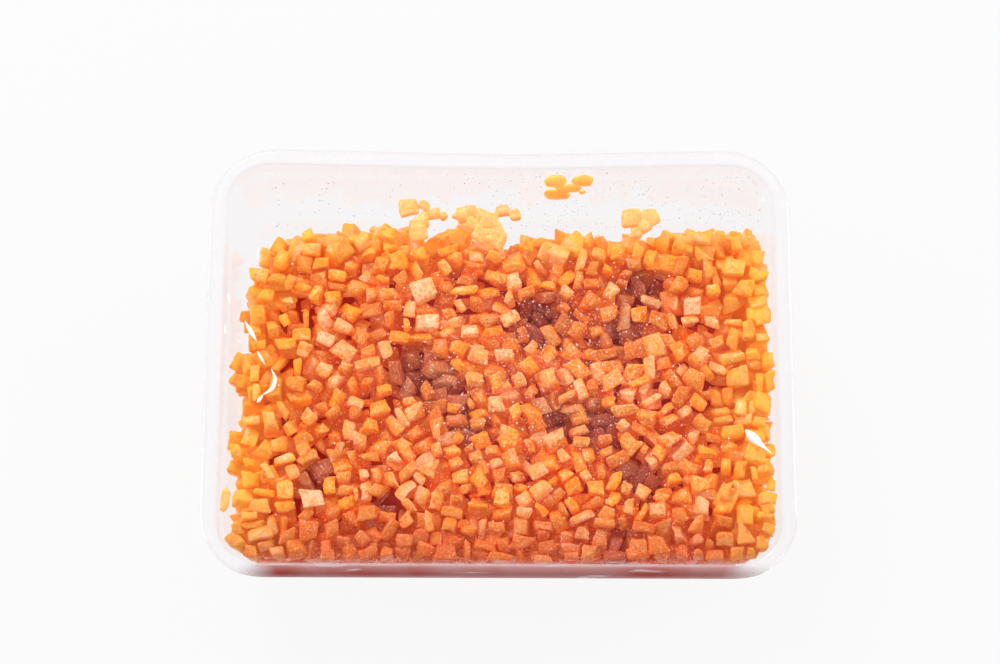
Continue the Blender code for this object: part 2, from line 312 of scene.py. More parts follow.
@dataclass(frozen=True)
class ClearFinish(Finish):
    """Clear plastic: see-through, glossier at grazing views, hazy where its mesh says so.

    The mesh has three masks: haze for the sealed rim and mist, stain for syrup behind the
    front lip, and seam for the thin lines along the rim.
    """

    name: str
    tint: Colour
    facing_gloss: float
    edge_gloss: float
    haze: float
    band_haze: float
    stain_cover: float
    haze_scale: float
    roughness: float
    ripple: float
    ripple_scale: float
    white: Colour = (0.93, 0.925, 0.945)
    stain: Colour = (0.45, 0.032, 0.015)
    seam: Colour = (0.55, 0.4, 0.42)
    seam_cover: float = 0.16
    streak_scale: float = 420.0
    streak_stretch: tuple[float, float, float] = (0.12, 1.0, 1.0)
    streak_cover: float = 0.6

    def shader(self, kit: NodeKit) -> Wire:
        """Clear plastic under haze, seams and syrup."""
        place = kit.place()
        ripple = kit.noise(place, self.ripple_scale, 1.0)
        normal = kit.bump(ripple, self.ripple)
        view = {"Blend": 0.5, "Normal": normal}
        edge = kit.add("ShaderNodeLayerWeight", None, view, "Facing")
        gloss = self.facing_gloss + self.edge_gloss * edge**4.0
        cloud = kit.noise(place, self.haze_scale).between(0.35, 0.75)
        along = kit.add("ShaderNodeMapping", None, {"Vector": place, "Scale": self.streak_stretch})
        streak = kit.noise(along, self.streak_scale).between(0.6, 0.68)
        stain = kit.attribute("stain") * (0.85 + 0.15 * cloud)
        seam = kit.attribute("seam")
        band = kit.attribute("haze") * (0.7 + 0.3 * cloud) * (1.0 - stain)
        haze = self.haze * (0.45 + 0.55 * cloud) + self.band_haze * band
        cover = gloss + haze + self.stain_cover * stain + self.seam_cover * seam
        colour = kit.blend(seam, kit.blend(stain, self.white, self.stain), self.seam)
        sheet = kit.principled(
            Base_Color=kit.blend(streak * stain * self.streak_cover, colour, self.white),
            Metallic=gloss / cover,
            Roughness=self.roughness,
            Normal=normal,
        )
        clear = kit.add("ShaderNodeBsdfTransparent", None, {"Color": self.tint})
        return kit.add("ShaderNodeMixShader", None, {0: cover, 1: clear, 2: sheet})


@dataclass(frozen=True)
class PeelFinish(Finish):
    """Candied peel, pith on one side and zest on the other, glossy, with painted light and a deeper
    painted shade where it is buried.
    """

    kind: Kind
    pith: Colour
    middle: Colour
    zest: Colour
    soaked: Colour
    # Painted shade of dice deep in the heap and in the front rows; also the tone of dark grain specks.
    buried: Colour = (0.72, 0.12, 0.022)
    # Painted side light: a yellower tone where light from the sides and the back reaches.
    painted_side_light: Colour = (0.95, 0.48, 0.05)
    # Painted shade, in colour and in glow, of dice in hollows and in the front rows.
    hollow: Colour = (0.28, 0.02, 0.045)
    # Painted glow that lifts the painted shade of buried dice.
    dark_glow: Colour = (1.45, 0.24, 0.025)
    # Painted glow of all the peel, as if light shone through it.
    glow: Colour = (1.0, 0.15, 0.005)
    # Painted glow where side light reaches.
    lit_glow: Colour = (1.3, 0.52, 0.06)
    # Painted glints, as bright sparks.
    spark: Colour = (2.7, 1.85, 1.3)
    glow_strength: float = 0.13
    cloud_scale: float = 330.0
    patch_scale: float = 720.0
    grain_scale: float = 2100.0
    spark_scale: float = 1500.0
    relief: float = 0.4 * MM
    middle_span: tuple[float, float] = (0.3, 0.5)
    zest_start: float = 0.72
    soft_light: Colour = (2.4 * MM, 0.9 * MM, 0.4 * MM)

    @property
    def name(self) -> str:
        """The material's name."""
        return f"peel_{self.kind.value}"

    def colour(self, kit: NodeKit, cloud: Wire, patch: Wire, grain: Wire) -> Wire:
        """The peel's colour, with painted side light and painted shade.

        Args:
            kit: The material's kit.
            cloud: Coarse noise.
            patch: Finer noise.
            grain: The finest noise.

        Returns:
            The colour.
        """
        layer = kit.attribute("layer") + (cloud - 0.5) * 1.7 + (patch - 0.5) * 0.9
        middle_start, middle_end = self.middle_span
        stops = [
            (0.0, self.pith),
            (middle_start, self.middle),
            (middle_end, self.middle),
            (self.zest_start, self.zest),
            (1.0, self.zest),
        ]
        body = kit.add("ShaderNodeValToRGB", {"stops": stops}, {"Fac": layer})
        edge = kit.attribute("edge")
        heart = (1.0 - edge) * patch.between(0.43, 0.6) * 0.7
        soak = kit.attribute("tint") * 0.4 + edge * 0.25 + patch.between(0.52, 0.36) * 0.6
        # Painted side light: a yellower tone on the dice that side light reaches.
        bright = kit.attribute("lit") * (cloud.between(0.4, 0.6) * 0.6 + 0.3)
        layers = (
            (heart, self.pith),
            (soak, self.soaked),
            (grain.between(0.53, 0.68) * 0.5, self.pith),
            (grain.between(0.44, 0.32) * 0.45, self.buried),
            (bright, self.painted_side_light),
            # Painted shade: deeper for buried dice and the front rows, darker still in hollows.
            (kit.attribute("depth"), self.buried),
            (kit.attribute("dim"), self.hollow),
        )
        for share, over in layers:
            body = kit.blend(share, body, over)
        return body

    def light(self, kit: NodeKit, place: Wire) -> Wire:
        """The painted glow that seems to come out of the peel, with painted glint sparks on dice without
        side light.

        Args:
            kit: The material's kit.
            place: The coordinates of its noise.

        Returns:
            The light's colour.
        """
        spark = kit.noise(place, self.spark_scale, 1.0).between(0.62, 0.7)
        # Painted glow: brighter where side light reaches, lifted over buried dice and dark in hollows.
        light = kit.blend(kit.attribute("lit"), self.glow, self.lit_glow)
        light = kit.blend(kit.attribute("depth"), light, self.dark_glow)
        light = kit.blend(kit.attribute("dim"), light, self.hollow)
        # Painted glints: bright sparks on the dice that get no painted side light.
        return kit.blend(spark * kit.attribute("spark_share"), light, self.spark)

    def shader(self, kit: NodeKit) -> Wire:
        """Grainy, glossy peel that lets some light in."""
        place = kit.attribute("peel", "Vector")
        cloud = kit.noise(place, self.cloud_scale)
        patch = kit.noise(place, self.patch_scale, 1.0)
        grain = kit.noise(place, self.grain_scale, 1.0)
        return kit.principled(
            Base_Color=self.colour(kit, cloud, patch, grain),
            Roughness=0.2 + grain * 0.25,
            Specular_IOR_Level=0.12,
            Subsurface_Weight=0.6,
            Subsurface_Radius=self.soft_light,
            Subsurface_Scale=1.0,
            Coat_Weight=0.2,
            Coat_Roughness=0.08,
            Emission_Color=self.light(kit, place),
            Emission_Strength=self.glow_strength,
            Normal=kit.bump(grain * 0.5 + cloud * 0.8, self.relief),
        )


PEEL_FINISHES = {
    finish.kind: finish
    for finish in (
        PeelFinish(
            Kind.ZEST, (0.93, 0.6, 0.2), (0.94, 0.38, 0.01), (0.93, 0.31, 0.001), (0.9, 0.21, 0.002)
        ),
        PeelFinish(
            Kind.PEACH, (0.91, 0.62, 0.3), (0.87, 0.38, 0.065), (0.86, 0.27, 0.012), (0.79, 0.19, 0.012)
        ),
        PeelFinish(
            Kind.PALE, (0.92, 0.67, 0.42), (0.9, 0.52, 0.23), (0.9, 0.38, 0.04), (0.88, 0.31, 0.07)
        ),
        PeelFinish(
            Kind.DEEP, (0.84, 0.46, 0.14), (0.76, 0.25, 0.035), (0.74, 0.17, 0.01), (0.67, 0.12, 0.01)
        ),
        # Amber and honey dice carry a stronger painted glow and their own painted side light tone.
        PeelFinish(
            Kind.AMBER,
            (0.9, 0.62, 0.34),
            (0.9, 0.5, 0.2),
            (0.92, 0.4, 0.05),
            (0.85, 0.3, 0.06),
            painted_side_light=(0.93, 0.51, 0.17),
            lit_glow=(1.0, 0.54, 0.18),
            glow_strength=0.2,
        ),
        PeelFinish(
            Kind.HONEY,
            (0.9, 0.56, 0.22),
            (0.9, 0.5, 0.12),
            (0.92, 0.42, 0.03),
            (0.9, 0.34, 0.03),
            painted_side_light=(0.92, 0.55, 0.12),
            lit_glow=(1.0, 0.56, 0.12),
            glow_strength=0.4,
        ),
    )
}


@dataclass(frozen=True)
class CoreFinish(Finish):
    """The inside of the heap, coloured dark as painted shade between the deep dice."""

    name: str = "peel_core_shade"
    # Painted shade: dark red with lighter patches where gaps show the heap's inside.
    colour: Colour = (0.6, 0.04, 0.01)
    light: Colour = (0.8, 0.08, 0.015)
    patch_scale: float = 180.0
    relief: float = 1 * MM

    def shader(self, kit: NodeKit) -> Wire:
        """Dull, patchy dark red, as painted shade."""
        patch = kit.noise(kit.place(), self.patch_scale)
        colour = kit.blend(patch.between(0.35, 0.7), self.colour, self.light)
        normal = kit.bump(patch, self.relief)
        return kit.principled(Base_Color=colour, Roughness=0.4, Normal=normal)


@dataclass(frozen=True)
class DropletFinish(Finish):
    """Fine droplets of syrup on the film: bright with a painted highlight over the heap, dark with painted
    shade over the empty part.
    """

    name: str = "droplet"
    # These paint a highlight and glow on drops over the heap, and shade on those over the clear band.
    bright: Colour = (1.0, 0.9, 0.82)
    dark: Colour = (0.6, 0.5, 0.52)
    glow: Colour = (1.0, 0.85, 0.72)
    black: Colour = (0.0, 0.0, 0.0)
    patch_scale: float = 90.0

    def shader(self, kit: NodeKit) -> Wire:
        """See-through drops with some light of their own."""
        patch = kit.noise(kit.place(), self.patch_scale, 1.0)
        shade = kit.attribute("shade")
        return kit.principled(
            Base_Color=kit.blend(shade, self.bright, self.dark),
            Roughness=0.08,
            Alpha=0.4 + patch * 0.5,
            Emission_Color=kit.blend(shade, self.glow, self.black),
            Emission_Strength=0.25,
        )


@dataclass(frozen=True)
class FloorFinish(Finish):
    """A pale studio floor with a little light of its own, which thins out the shadows."""

    name: str = "studio_floor"
    colour: Colour = (0.05, 0.05, 0.05)
    glow: float = 0.91

    def shader(self, kit: NodeKit) -> Wire:
        """A dull, faintly lit surface."""
        return kit.principled(
            Base_Color=self.colour,
            Roughness=0.9,
            Specular_IOR_Level=0.0,
            Emission_Color=(1.0, 1.0, 1.0),
            Emission_Strength=self.glow,
        )


def mesh_object(
    name: str, verts: np.ndarray, quads: np.ndarray, caps: Iterable[Sequence[int]] = ()
) -> bpy.types.Object:
    """A linked, smooth shaded mesh object.

    Args:
        name: The object's name.
        verts: Points, one row each.
        quads: Faces of four points, one row each.
        caps: Further faces of any size.

    Returns:
        The object.
    """
    mesh = bpy.data.meshes.new(name)
    if caps:
        faces = [tuple(int(n) for n in quad) for quad in quads] + [tuple(c) for c in caps]
        mesh.from_pydata(verts.tolist(), [], faces)
    else:
        mesh.vertices.add(len(verts))
        mesh.vertices.foreach_set("co", verts.astype(np.float32).ravel())
        mesh.loops.add(quads.size)
        mesh.loops.foreach_set("vertex_index", quads.astype(np.int32).ravel())
        mesh.polygons.add(len(quads))
        mesh.polygons.foreach_set("loop_start", np.arange(0, quads.size, 4, dtype=np.int32))
    mesh.update(calc_edges=True)
    mesh.shade_smooth()
    obj = bpy.data.objects.new(name, mesh)
    bpy.context.scene.collection.objects.link(obj)
    return obj


def store(obj: bpy.types.Object, name: str, values: np.ndarray) -> None:
    """Stores a value, or a vector, for each point of a mesh.

    Args:
        obj: The mesh object.
        name: The attribute's name.
        values: One value or one row for each point.
    """
    flat = values.ndim == 1
    kind = "FLOAT" if flat else "FLOAT_VECTOR"
    attribute = obj.data.attributes.new(name, kind, "POINT")
    attribute.data.foreach_set("value" if flat else "vector", values.astype(np.float32).ravel())


def ramp(values: np.ndarray, start: float, run: float) -> np.ndarray:
    """A straight rise from 0 at start to 1 a run further on.

    Args:
        values: Where to read it.
        start: Where it still is 0.
        run: How far on it reaches 1, negative for a rise the other way.

    Returns:
        A share from 0 to 1 for each value.
    """
    return np.clip((values - start) / run, 0, 1)


def finish_piece(
    obj: bpy.types.Object, material: bpy.types.Material, slot: Slot, *nodes: str
) -> None:
    """Dresses a piece and ties it to the frame.

    Args:
        obj: The piece.
        material: Its finish.
        slot: The record's slot that it belongs to; not used.
        nodes: The CAD nodes that it stands for.
    """
    obj.data.materials.append(material)
    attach(obj, BODY)
    if nodes:
        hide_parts(*nodes)
    obj.data.calc_loop_triangles()
    log.info("%s: %d triangles", obj.name, len(obj.data.loop_triangles))


@dataclass
class PackForm:
    """The sizes that the tray, the film and the heap share."""

    rim_length: float = 190 * MM
    rim_depth: float = 144 * MM
    height: float = 45 * MM
    sheet: float = 0.6 * MM
    flange: float = 5 * MM
    corner: float = 16.5 * MM
    corner_shrink: float = 0.45
    flange_rounding: float = 1.0
    smallest_corner: float = 2 * MM
    draft: float = math.radians(6.5)
    fold_out: float = 2.4 * MM
    fold_angle: float = math.radians(62)
    fold_round: float = 0.7 * MM
    fold_zone: float = 6 * MM
    bow: float = 1.4 * MM
    bow_span: float = 82 * MM
    ledge_drop: float = 8 * MM
    ledge_width: float = 0.8 * MM
    panel_rise: float = 1.2 * MM
    film_gap: float = 0.75 * MM
    wall_gap: float = 0.2 * MM
    corner_steps: int = 14
    long_steps: int = 34
    short_steps: int = 24
    shift: float = field(init=False)

    def __post_init__(self) -> None:
        """Finds how far the frame lies from the rim's middle."""
        self.shift = self.rim_depth / 2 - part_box("tray")[1].y

    def outline(self, inset: float) -> np.ndarray:
        """The rounded rectangle that lies inset from the rim's edge.

        Args:
            inset: Distance from the rim's edge.

        Returns:
            Its points, anticlockwise.
        """
        half = np.array([self.rim_length / 2 - inset, self.rim_depth / 2 - inset])
        radius = max(self.corner - self.corner_shrink * inset, self.smallest_corner)
        radius += self.flange_rounding * max(self.flange - inset, 0.0)
        points = []
        signs = ((1, 1), (-1, 1), (-1, -1), (1, -1))
        for quarter, sign in enumerate(signs):
            centre = (half - radius) * sign
            turns = (quarter + np.linspace(0, 1, self.corner_steps + 1)) * math.pi / 2
            points += [centre + radius * np.array([math.cos(t), math.sin(t)]) for t in turns]
            start = points[-1]
            turn = (quarter + 1) * math.pi / 2
            centre = (half - radius) * signs[(quarter + 1) % 4]
            end = centre + radius * np.array([math.cos(turn), math.sin(turn)])
            steps = self.long_steps if quarter % 2 == 0 else self.short_steps
            points += [start + (end - start) * n / steps for n in range(1, steps)]
        return np.array(points)

    def wall_inset(self, height: float | np.ndarray) -> float | np.ndarray:
        """How far the wall lies inside the rim's edge at a height."""
        return self.flange + (self.height - height) * math.tan(self.draft)

    def inset_at(self, x: float | np.ndarray, y: float | np.ndarray) -> float | np.ndarray:
        """How far inside the rim's edge a place in the plan lies."""
        return np.minimum(self.rim_length / 2 - np.abs(x), self.rim_depth / 2 - np.abs(y))

    def inside(self, points: np.ndarray) -> np.ndarray:
        """Moves points that lie in the film, a wall or the base back in between them.

        Args:
            points: Points in the frame, along the last axis.

        Returns:
            The moved points.
        """
        x, y = points[..., 0], points[..., 1] + self.shift
        low = self.panel_rise + self.sheet + self.wall_gap
        z = np.clip(points[..., 2], low, self.height - self.film_gap)
        ledge = self.height - self.ledge_drop
        inset = self.wall_inset(z) + np.where(z < ledge, self.ledge_width * z / ledge, 0)
        inset += self.sheet / 2 + self.wall_gap
        side, front = self.rim_length / 2 - inset, self.rim_depth / 2 - inset
        x, y = np.clip(x, -side, side), np.maximum(y, -front)
        radius = self.corner - self.corner_shrink * inset
        out_x, out_y = np.abs(x) - side + radius, -y - front + radius
        share = np.clip(radius / np.maximum(np.hypot(out_x, out_y), radius / 2), 0, 1)
        corner = (out_x > 0) & (out_y > 0)
        x = np.where(corner, np.sign(x) * (side - radius + out_x * share), x)
        y = np.where(corner, radius - front - out_y * share, y)
        return np.stack([x, y - self.shift, z], axis=-1)

    def settle(self, points: np.ndarray) -> np.ndarray:
        """Bows the back wall in, folds the front lip down and moves all into the frame.

        Args:
            points: Points of the plain pack, one row each.

        Returns:
            The moved points.
        """
        x, y, z = points.T.copy()
        span = np.clip(np.abs(x) / self.bow_span, 0, 1)
        level = np.clip(z / self.height, 0, 1)
        near = np.clip(y / (self.rim_depth / 2 - self.flange), 0, 1)
        y = y - self.bow * np.cos(span * math.pi / 2) ** 2 * level**2 * near**3
        fold_y = -(self.rim_depth / 2 - self.flange + self.fold_out)
        pivot = self.height - self.sheet / 2
        reach, over = fold_y - y, z - pivot
        soft = self.fold_round
        bend = self.fold_angle * np.clip((reach + soft) / (2 * soft), 0, 1)
        radius = 2 * soft / self.fold_angle
        past = np.clip(reach - soft, 0, None)
        out = -soft + radius * np.sin(bend) + past * np.cos(bend) + over * np.sin(bend)
        drop = radius * (1 - np.cos(bend)) + past * np.sin(bend)
        folded = (reach > -soft) & (z > self.height - self.fold_zone)
        y = np.where(folded, fold_y - out, y)
        z = np.where(folded, pivot - drop + over * np.cos(bend), z)
        return np.stack([x, y - self.shift, z], axis=1)

    def shell(self, name: str, line: Sequence[tuple[float, float]]) -> bpy.types.Object:
        """A closed body through rounded rectangles, with a flat cap at each end.

        Args:
            name: The object's name.
            line: Inset and height of each rectangle, from the middle of one face, round the
                edge, to the middle of the other.

        Returns:
            The object.
        """
        rings = []
        for inset, height in line:
            flat = self.outline(inset)
            rings.append(np.column_stack([flat, np.full(len(flat), height)]))
        return self.rings_object(name, rings)

    def rings_object(self, name: str, rings: Sequence[np.ndarray]) -> bpy.types.Object:
        """A closed body through rings of points.

        Args:
            name: The object's name.
            rings: Rings with equally many points.

        Returns:
            The object.
        """
        count = len(rings[0])
        verts = self.settle(np.concatenate(rings))
        here = np.arange(count)
        after = (here + 1) % count
        quads = []
        for n in range(len(rings) - 1):
            low, high = n * count, (n + 1) * count
            quads.append(np.stack([low + here, low + after, high + after, high + here], 1))
        first = list(range(count))[::-1]
        last = list(range((len(rings) - 1) * count, len(rings) * count))
        return mesh_object(name, verts, np.concatenate(quads), [first, last])


@dataclass
class ClearMasks:
    """Where clear plastic is hazy, where its seams lie and where syrup shows behind it."""

    form: PackForm
    mist: float = 0.0
    mist_centre: tuple[float, float] = (17 * MM, -4 * MM)
    mist_reach: tuple[float, float] = (60 * MM, 42 * MM)
    mist_limit: float = 1.3
    mist_power: float = 0.7
    rim_height: float = 5 * MM
    rim_start: float = 0.2 * MM
    rim_blur: float = 0.6 * MM
    stain_left: float = -83 * MM
    stain_left_run: float = 12 * MM
    stain_right: float = 87 * MM
    stain_right_run: float = 16 * MM
    stain_line: float = -66.4 * MM
    stain_deep_line: float = -68 * MM
    stain_blur: float = 1.4 * MM
    stain_thin: float = 0.84
    stain_foot: float = 8 * MM
    seam_blur: float = 0.3 * MM
    seam_offset: float = 0.1 * MM
    edge_share: float = 0.4
    inner_share: float = 0.6

    def store(self, obj: bpy.types.Object, insets: np.ndarray) -> None:
        """Stores the masks on a sheet.

        Args:
            obj: The tray or the film.
            insets: Each point's distance from the rim's edge.
        """
        spots = np.array([vert.co for vert in obj.data.vertices])
        x, y, z = spots.T
        y = y + self.form.shift
        flange = self.form.flange
        rim = ramp(insets, flange + self.rim_start, -self.rim_blur)
        high = z > self.form.height - self.rim_height
        middle_x, middle_y = self.mist_centre
        reach_x, reach_y = self.mist_reach
        far = np.hypot((x - middle_x) / reach_x, (y - middle_y) / reach_y)
        cloud = self.mist * ramp(far, self.mist_limit, -1) ** self.mist_power
        along = ramp(x, self.stain_left, self.stain_left_run)
        along *= ramp(x, self.stain_right, -self.stain_right_run)
        front = ramp(y, self.stain_line, -self.stain_blur)
        store(obj, "haze", np.clip(rim * high * (1 - front * along) + cloud, 0, 1))
        deep = ramp(y, self.stain_deep_line, -self.stain_blur)
        front *= self.stain_thin + (1 - self.stain_thin) * deep
        store(obj, "stain", front * along * (z > self.stain_foot))
        edge = ramp(insets, self.seam_blur, -self.seam_blur)
        inner = ramp(np.abs(insets - flange - self.seam_offset), self.seam_blur, -self.seam_blur)
        store(obj, "seam", np.maximum(self.edge_share * edge, self.inner_share * inner) * high)


def rounded(
    points: Sequence[tuple[float, float, float]],
    steps: int,
    longest: float = 0.48,
    shortest: float = 0.01 * MM,
) -> np.ndarray:
    """A line with its corners rounded.

    Args:
        points: x, y and corner radius of each point.
        steps: Segments of each rounded corner.
        longest: Share of a neighbouring stretch that a corner takes up at most.
        shortest: Corners that would take up less than this stay sharp.

    Returns:
        The line's points.
    """
    line = [np.array(points[0][:2])]
    for before, here, after in zip(points, points[1:], points[2:]):
        corner = np.array(here[:2])
        back = np.array(before[:2]) - corner
        ahead = np.array(after[:2]) - corner
        long_back, long_ahead = np.linalg.norm(back), np.linalg.norm(ahead)
        back, ahead = back / long_back, ahead / long_ahead
        half = math.acos(float(np.clip(back @ ahead, -1, 1))) / 2
        cut = min(here[2] / math.tan(half), longest * long_back, longest * long_ahead)
        if cut < shortest:
            line.append(corner)
            continue
        start, end = corner + back * cut, corner + ahead * cut
        for step in range(steps + 1):
            t = step / steps
            line.append((1 - t) ** 2 * start + 2 * t * (1 - t) * corner + t**2 * end)
    line.append(np.array(points[-1][:2]))
    return np.array(line)


def offset(line: np.ndarray, distance: float) -> np.ndarray:
    """A line moved to its side.

    Args:
        line: Points, one row each.
        distance: How far, positive to the left of the direction of travel.

    Returns:
        The moved points.
    """
    ahead = np.gradient(line, axis=0)
    normal = np.stack([-ahead[:, 1], ahead[:, 0]], 1)
    normal /= np.linalg.norm(normal, axis=1, keepdims=True)
    return line + normal * distance


@dataclass
class Tray:
    """The clear thermoformed tray."""

    form: PackForm
    ledge_height: float = 0.9 * MM
    base_fillet: float = 5 * MM
    foot_width: float = 9 * MM
    panel_ramp: float = 2.5 * MM
    root: float = 0.9 * MM
    panel_bend: float = 1.5 * MM
    ledge_bend: float = 0.5 * MM
    fold_bend: float = 0.1 * MM
    edge_round: float = 0.35
    panel_edge: float = 4 * MM
    corner_steps: int = 5

    def centreline(self) -> np.ndarray:
        """The middle of the sheet as inset and height, from the base panel to the lip.

        Returns:
            Its points.
        """
        form = self.form
        half = form.sheet / 2
        top = form.height - half
        foot = form.wall_inset(half) + self.base_fillet
        ledge = form.height - form.ledge_drop
        rise = foot + self.foot_width
        points = [
            (rise + self.panel_ramp + self.panel_edge, half + form.panel_rise, 0.0),
            (rise + self.panel_ramp, half + form.panel_rise, self.panel_bend),
            (rise, half, self.panel_bend),
            (form.wall_inset(half), half, self.base_fillet),
            (form.wall_inset(ledge) + form.ledge_width, ledge - self.ledge_height, self.ledge_bend),
            (form.wall_inset(ledge), ledge, self.ledge_bend),
            (form.wall_inset(top), top, self.root),
            (form.flange - form.fold_out + form.fold_round, top, self.fold_bend),
            (form.flange - form.fold_out - form.fold_round, top, self.fold_bend),
            (half * self.edge_round, top, 0.0),
        ]
        return rounded(points, self.corner_steps)

    def build(self) -> bpy.types.Object:
        """Makes and dresses the tray.

        Returns:
            The tray.
        """
        line = self.centreline()
        half = self.form.sheet / 2
        under, inner = offset(line, half), offset(line, -half)
        if under[0][1] > inner[0][1]:
            under, inner = inner, under
        rim = (under[-1] + inner[-1]) / 2 - np.array([half * self.edge_round, 0])
        line = np.array([*under, rim, *inner[::-1]])
        body = self.form.shell("clear_tray", line)
        insets = np.repeat(line[:, 0], len(body.data.vertices) // len(line))
        ClearMasks(self.form).store(body, insets)
        finish = ClearFinish(
            name="clear_tray",
            tint=(0.99, 0.987, 0.99),
            facing_gloss=0.02,
            edge_gloss=0.18,
            haze=0.006,
            band_haze=0.1,
            stain_cover=0.88,
            haze_scale=60.0,
            roughness=0.06,
            ripple=0.0001,
            ripple_scale=60.0,
        )
        finish_piece(body, finish.build(), Slot.TRAY, "tray")
        return body


@dataclass
class Film:
    """The clear film, sealed to the flange and drawn slightly into the opening."""

    form: PackForm
    thickness: float = 0.09 * MM
    lift: float = 0.06 * MM
    trim: float = 0.3 * MM
    sag: float = 0.62 * MM
    sag_run: float = 30 * MM
    wave: float = 0.1 * MM
    long_wave: tuple[float, float] = (95, 40)
    cross_wave: tuple[float, float, float] = (47, -83, 1.7)
    short_wave: tuple[float, float] = (61, 0.4)
    mist: float = 0.055
    fine_rings: Sequence[float] = (0.8, 1.3, 1.9, 2.3, 2.8, 3.3, 4.2, 5.2, 6.5)
    wide_rings: Sequence[float] = tuple(range(8, 69, 4))

    def lower(self, points: np.ndarray, inset: float) -> np.ndarray:
        """Height of the film's lower face.

        Args:
            points: Plan points of one ring.
            inset: The ring's inset.

        Returns:
            A height for each point.
        """
        share = min(max((inset - self.form.flange) / self.sag_run, 0.0), 1.0)
        ease = 1 - (1 - share) ** 2
        x, y = points.T
        long_x, long_y = self.long_wave
        cross_x, cross_y, cross_start = self.cross_wave
        short_y, short_start = self.short_wave
        waves = np.sin(x * cross_x + y * cross_y + cross_start) * np.sin(y * short_y + short_start)
        waves += np.sin(x * long_x + y * long_y)
        height = self.form.height + self.lift - self.sag * ease
        return height - self.wave * ease * (0.5 + 0.25 * waves)

    def build(self) -> bpy.types.Object:
        """Makes and dresses the film.

        Returns:
            The film.
        """
        form = self.form
        insets = [self.trim, *(ring * MM for ring in (*self.fine_rings, *self.wide_rings))]
        lower, upper = [], []
        for inset in insets:
            plan = form.outline(inset)
            height = self.lower(plan, inset)
            lower.append(np.column_stack([plan, height]))
            upper.append(np.column_stack([plan, height + self.thickness]))
        body = form.rings_object("lid_sheet", lower[::-1] + upper)
        ring_insets = np.array(insets[::-1] + insets)
        points = len(body.data.vertices) // len(ring_insets)
        ClearMasks(form, self.mist).store(body, np.repeat(ring_insets, points))
        finish = ClearFinish(
            name="clear_film",
            tint=(0.99, 0.988, 0.99),
            facing_gloss=0.004,
            edge_gloss=0.05,
            haze=0.0005,
            band_haze=0.12,
            stain_cover=0.05,
            haze_scale=45.0,
            roughness=0.09,
            ripple=0.0002,
            ripple_scale=45.0,
        )
        finish_piece(body, finish.build(), Slot.FILM, "lid_film")
        return body


@dataclass
class Dice:
    """Sizes, places and turns of many dice."""

    sizes: np.ndarray
    places: np.ndarray
    turns: np.ndarray

    def keep(self, mask: np.ndarray) -> "Dice":
        """The dice that a mask keeps."""
        return Dice(self.sizes[mask], self.places[mask], self.turns[mask])


